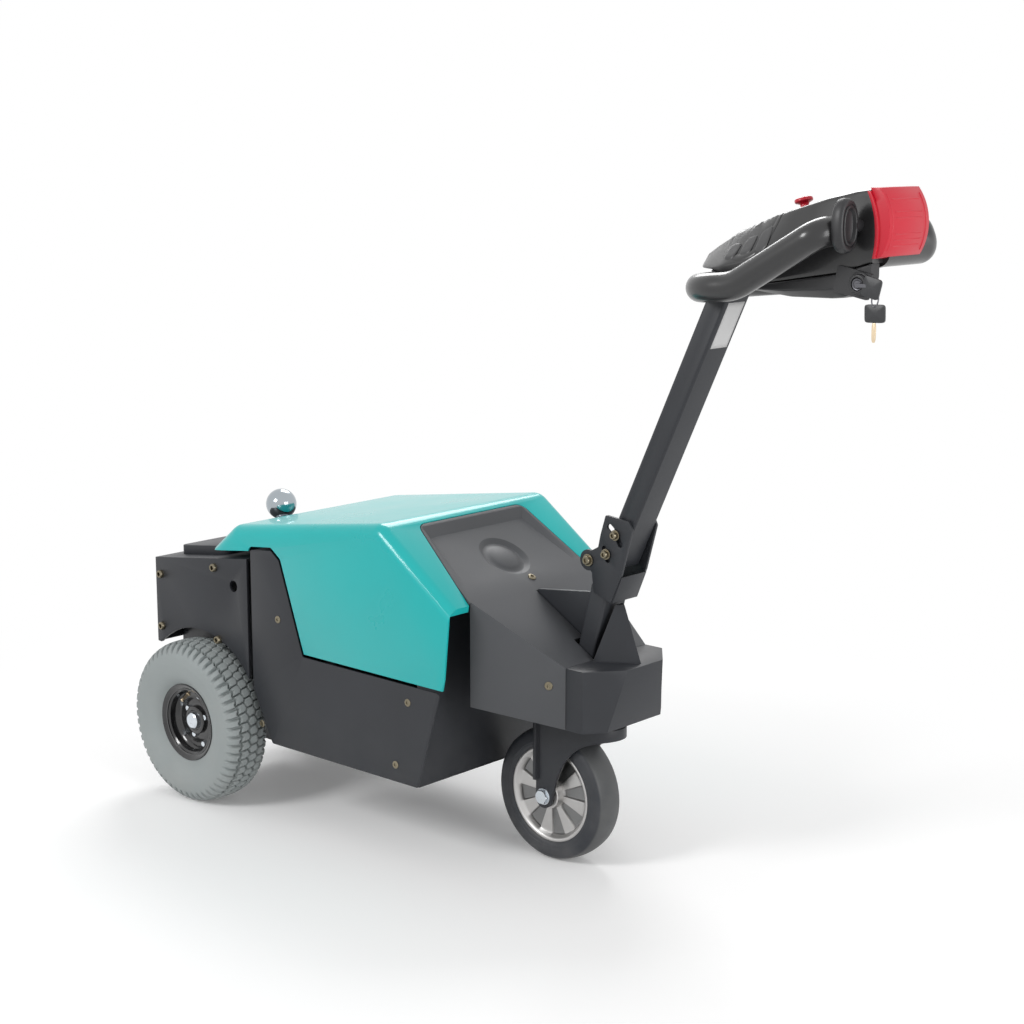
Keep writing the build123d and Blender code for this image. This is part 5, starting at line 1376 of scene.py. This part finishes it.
    def build(self) -> None:
        """Build and dress the controls."""
        shell = MeshKit.grid("head_shell", self.shell.shell(), closed_v=True)
        self.shop.dress(shell, "tiller", "black_gloss_plastic", replaces=("head_upper",))
        lower = MeshKit.grid("belly_shell", self.shell.lower(), closed_v=True)
        self.shop.dress(lower, "tiller", "black_matte_plastic", replaces=("head_lower",))
        self.build_keypad()
        self.build_knob()
        self.build_paddles()
        self.build_lock()
        self.build_keys()
        self.build_ribs()


@dataclass
class Tiller:
    """Tube, grip ring, the saddle's bolts and a pale plate of painted reflection on the tube's front."""

    shop: Workshop
    grip_radius: float = 0.0185
    grip_corners: tuple[Point, ...] = (
        (1081.0, -38.0, 933.5), (1081.0, -90.0, 933.5), (955.0, -88.0, 862.0), (875.0, -88.0, 855.0),
        (875.0, 88.0, 855.0), (955.0, 88.0, 862.0), (1098.0, 98.0, 944.0), (1118.0, 92.0, 908.0),
        (1118.0, -20.0, 908.0),
    )
    grip_rounds: tuple[float, ...] = (0.019, 0.070, 0.058, 0.058, 0.070, 0.020, 0.019)
    tube_line: Table = ((709.5, 463.0), (890.2, 853.0))
    reflection_rise: tuple[float, float] = (348.0, 416.0)
    reflection_half: float = 18.0
    reflection_lift: float = 15.62

    def build_grip(self) -> None:
        """Grip as a round tube carried along the ring's runs and arcs."""
        corners = np.array([ahead(*corner) for corner in self.grip_corners])
        path = MeshKit.rounded_path(corners, self.grip_rounds, 22)
        points = MeshKit.tube(path, np.full(len(path), self.grip_radius), 48)
        caps = [points[:1] * 0 + path[0], points, points[:1] * 0 + path[-1]]
        grip = MeshKit.grid("bent_grip", np.concatenate(caps), closed_v=True)
        self.shop.dress(grip, "tiller", "black_gloss_plastic", replaces=("grip_ring",))

    def build_eased(self) -> None:
        """Ease the edges of the tube and of the red pad."""
        for node, width in (("tiller_tube", 0.0008), ("belly_switch", 0.002)):
            self.shop.eased(node, width)

    def build_bolts(self) -> None:
        """Saddle's bolts: a shank with a washer and a socket head at each end."""
        screws = Screws(self.shop)
        for node, places, across in (("pivot_bolt", ((674.5, 463.0),), 14.0),
                                     ("clamp_bolts", ((723.0, 505.0), (707.0, 476.0)), 12.0)):
            low, high = (corner[1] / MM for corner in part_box(node))
            reach = across * 1.05
            washer = ((0.0, 0.0), (0.0, 0.60 * reach), (1.4, 0.60 * reach), (1.8, 0.57 * reach), (1.8, 0.0))
            shank = ((low, 0.0), (low, 4.2), (high, 4.2), (high, 0.0))
            pieces = []
            for x, z in places:
                for sign, end in ((-1, low), (1, high)):
                    out, seat = sideways(sign), end - sign * 4.5
                    pieces.append(MeshKit.turned("washer", washer, ahead(x, seat, z), out, 40))
                    lifted = ahead(x, seat + sign * 1.6, z)
                    pieces.append(screws.head(lifted, out, across * 0.46 * MM, 0.0052, across * 0.20 * MM))
                pieces.append(MeshKit.turned("shank", shank, ahead(x, 0.0, z), sideways(1), 32))
            bolts = MeshKit.join(f"{node}_set", pieces)
            self.shop.dress(bolts, NODE_BODY[node], "plated_bolts", replaces=(node,))

    def build_painted_reflection(self) -> None:
        """Pale plate near the top of the tube's front, a thin sheet square to the tube's side: painted reflection."""
        foot, head = (np.array(end) for end in self.tube_line)
        up = (head - foot) / np.linalg.norm(head - foot)
        out = np.array([up[1], -up[0]])
        rise, side = np.linspace(*self.reflection_rise, 9), np.linspace(-self.reflection_half, self.reflection_half, 7)
        line = foot + out * self.reflection_lift + rise[:, None] * up[None, :]
        points = np.empty((len(rise), len(side), 3))
        points[..., 0] = AXLE_X + line[:, :1] * MM
        points[..., 1] = side * MM
        points[..., 2] = line[:, 1:] * MM
        # This pale plate is painted reflection: it stands where the tube's glossy front shows only a reflection.
        plate = MeshKit.grid("painted_reflection_plate", points)
        solid = plate.modifiers.new("thickness", "SOLIDIFY")
        solid.thickness = 0.0003
        self.shop.dress(plate, "tiller", "grained_plastic", TUBE_REFLECTION_PAINT)

    def build(self) -> None:
        """Build and dress the tiller."""
        self.build_grip()
        self.build_eased()
        self.build_bolts()
        self.build_painted_reflection()


@dataclass
class Studio:
    """Pale floor, soft lights and the camera at the photograph's angle."""

    image_width: float = 1024.0
    focal_pixels: float = 1957.25
    yaw: float = 42.09
    pitch: float = 10.93
    station: Point = (2390.54, -2088.37, 1048.68)
    floor_glow: float = 0.10
    floor_half: float = 14.0
    white_band: tuple[float, float] = (0.50, 1.25)

    def build_camera(self) -> None:
        """Camera whose lens is the focal length in pixels over the image's width, times the sensor."""
        data = bpy.data.cameras.new("camera")
        data.sensor_width = 36.0
        data.lens = self.focal_pixels / self.image_width * data.sensor_width
        data.clip_end = 60.0
        camera = add_object("camera", data)
        yaw, pitch = math.radians(self.yaw), math.radians(self.pitch)
        look = Vector((-math.sin(yaw) * math.cos(pitch), math.cos(yaw) * math.cos(pitch), -math.sin(pitch)))
        turn = look.to_track_quat("-Z", "Y")
        camera.rotation_euler = turn.to_euler()
        camera.location = ahead(*self.station)
        bpy.context.scene.camera = camera

    def build_floor(self) -> None:
        """Pale floor: it takes the machine's shadow near it and is plain white further out.

        The share of plain white grows with the distance from the machine's middle, read from
        Object coordinates.
        """
        half = self.floor_half
        points = np.array([[(-half, -half, 0.0), (-half, half, 0.0)], [(half, -half, 0.0), (half, half, 0.0)]])
        floor = MeshKit.grid("floor", points)
        material = bpy.data.materials.new("floor")
        kit = NodeKit.fresh(material)
        diffuse = kit.add("ShaderNodeBsdfDiffuse", {"Color": (0.96, 0.96, 0.96, 1.0)})
        seen = self.seen(kit)
        glow = kit.add("ShaderNodeEmission", {"Strength": kit.math("MULTIPLY", seen, self.floor_glow)})
        near = kit.add("ShaderNodeAddShader", {0: diffuse.outputs[0], 1: glow.outputs[0]})
        place = kit.add("ShaderNodeTexCoord").outputs["Object"]
        flat = kit.add("ShaderNodeVectorMath", {0: place, 1: (0.75, 1.0, 0.0)}, operation="MULTIPLY").outputs[0]
        away = kit.add("ShaderNodeVectorMath", {0: flat}, operation="LENGTH").outputs["Value"]
        white = kit.add("ShaderNodeEmission", {"Strength": self.backdrop(kit, seen)})
        share = kit.band(away, *self.white_band)
        both = kit.add("ShaderNodeMixShader", {0: share, 1: near.outputs[0], 2: white.outputs[0]})
        kit.close("ShaderNodeOutputMaterial", both.outputs[0])
        floor.data.materials.append(material)

    @staticmethod
    def seen(kit: NodeKit) -> Socket:
        """1 for what the camera sees directly, in gloss or through glass, and 0 for diffuse light.


        Returns:
            The number's socket.
        """
        light = kit.add("ShaderNodeLightPath")
        direct = kit.math("MAXIMUM", light.outputs["Is Camera Ray"], light.outputs["Is Glossy Ray"])
        return kit.math("MAXIMUM", direct, light.outputs["Is Transmission Ray"])

    @staticmethod
    def backdrop(kit: NodeKit, seen: Socket) -> Socket:
        """Strength of the white surroundings: 1 where they are seen and a half for diffuse light."""
        return kit.math("ADD", kit.math("MULTIPLY", seen, 0.5), 0.5)

    def build_world(self) -> None:
        """White surroundings for the camera, gloss and glass, and a softer level for light."""
        world = bpy.data.worlds.new("studio")
        bpy.context.scene.world = world
        kit = NodeKit.fresh(world)
        strength = self.backdrop(kit, self.seen(kit))
        back = kit.add("ShaderNodeBackground", {"Color": (1.0, 1.0, 1.0, 1.0), "Strength": strength})
        kit.close("ShaderNodeOutputWorld", back.outputs[0])

    def build_lamps(self) -> None:
        """Soft square lamps: one over and behind the machine, one ahead of it and one at its side."""
        table = (
            ("overhead", (-1.3, 1.6, 2.3), (0.1, 0.0, 0.3), 1.3, 32.0),
            ("front", (3.1, -0.2, 1.0), (0.0, 0.0, 0.4), 1.6, 34.0),
            ("side", (-0.6, -2.4, 1.9), (0.1, 0.0, 0.3), 0.8, 32.0),
        )
        for name, place, target, size, power in table:
            data = bpy.data.lights.new(name, "AREA")
            data.shape = "SQUARE"
            data.size = size
            data.energy = power
            lamp = add_object(name, data)
            lamp.location = place
            lamp.rotation_euler = (Vector(target) - Vector(place)).to_track_quat("-Z", "Y").to_euler()

    def build(self) -> None:
        """Build the studio."""
        self.build_camera()
        self.build_floor()
        self.build_world()
        self.build_lamps()
        bpy.context.scene.view_settings.view_transform = "Standard"


def main() -> None:
    """Build every sub-assembly in order and report each."""
    logging.basicConfig(level=logging.INFO, format="%(name)s: %(message)s")
    shop = Workshop()
    Studio().build()
    shop.carry_over()
    Chassis(shop).build()
    for name, sign in (("left", 1), ("right", -1)):
        DriveWheel(shop, name, sign).build()
    Castor(shop).build()
    Tiller(shop).build()
    Controls(shop).build()


if __name__ == "__main__":
    main()
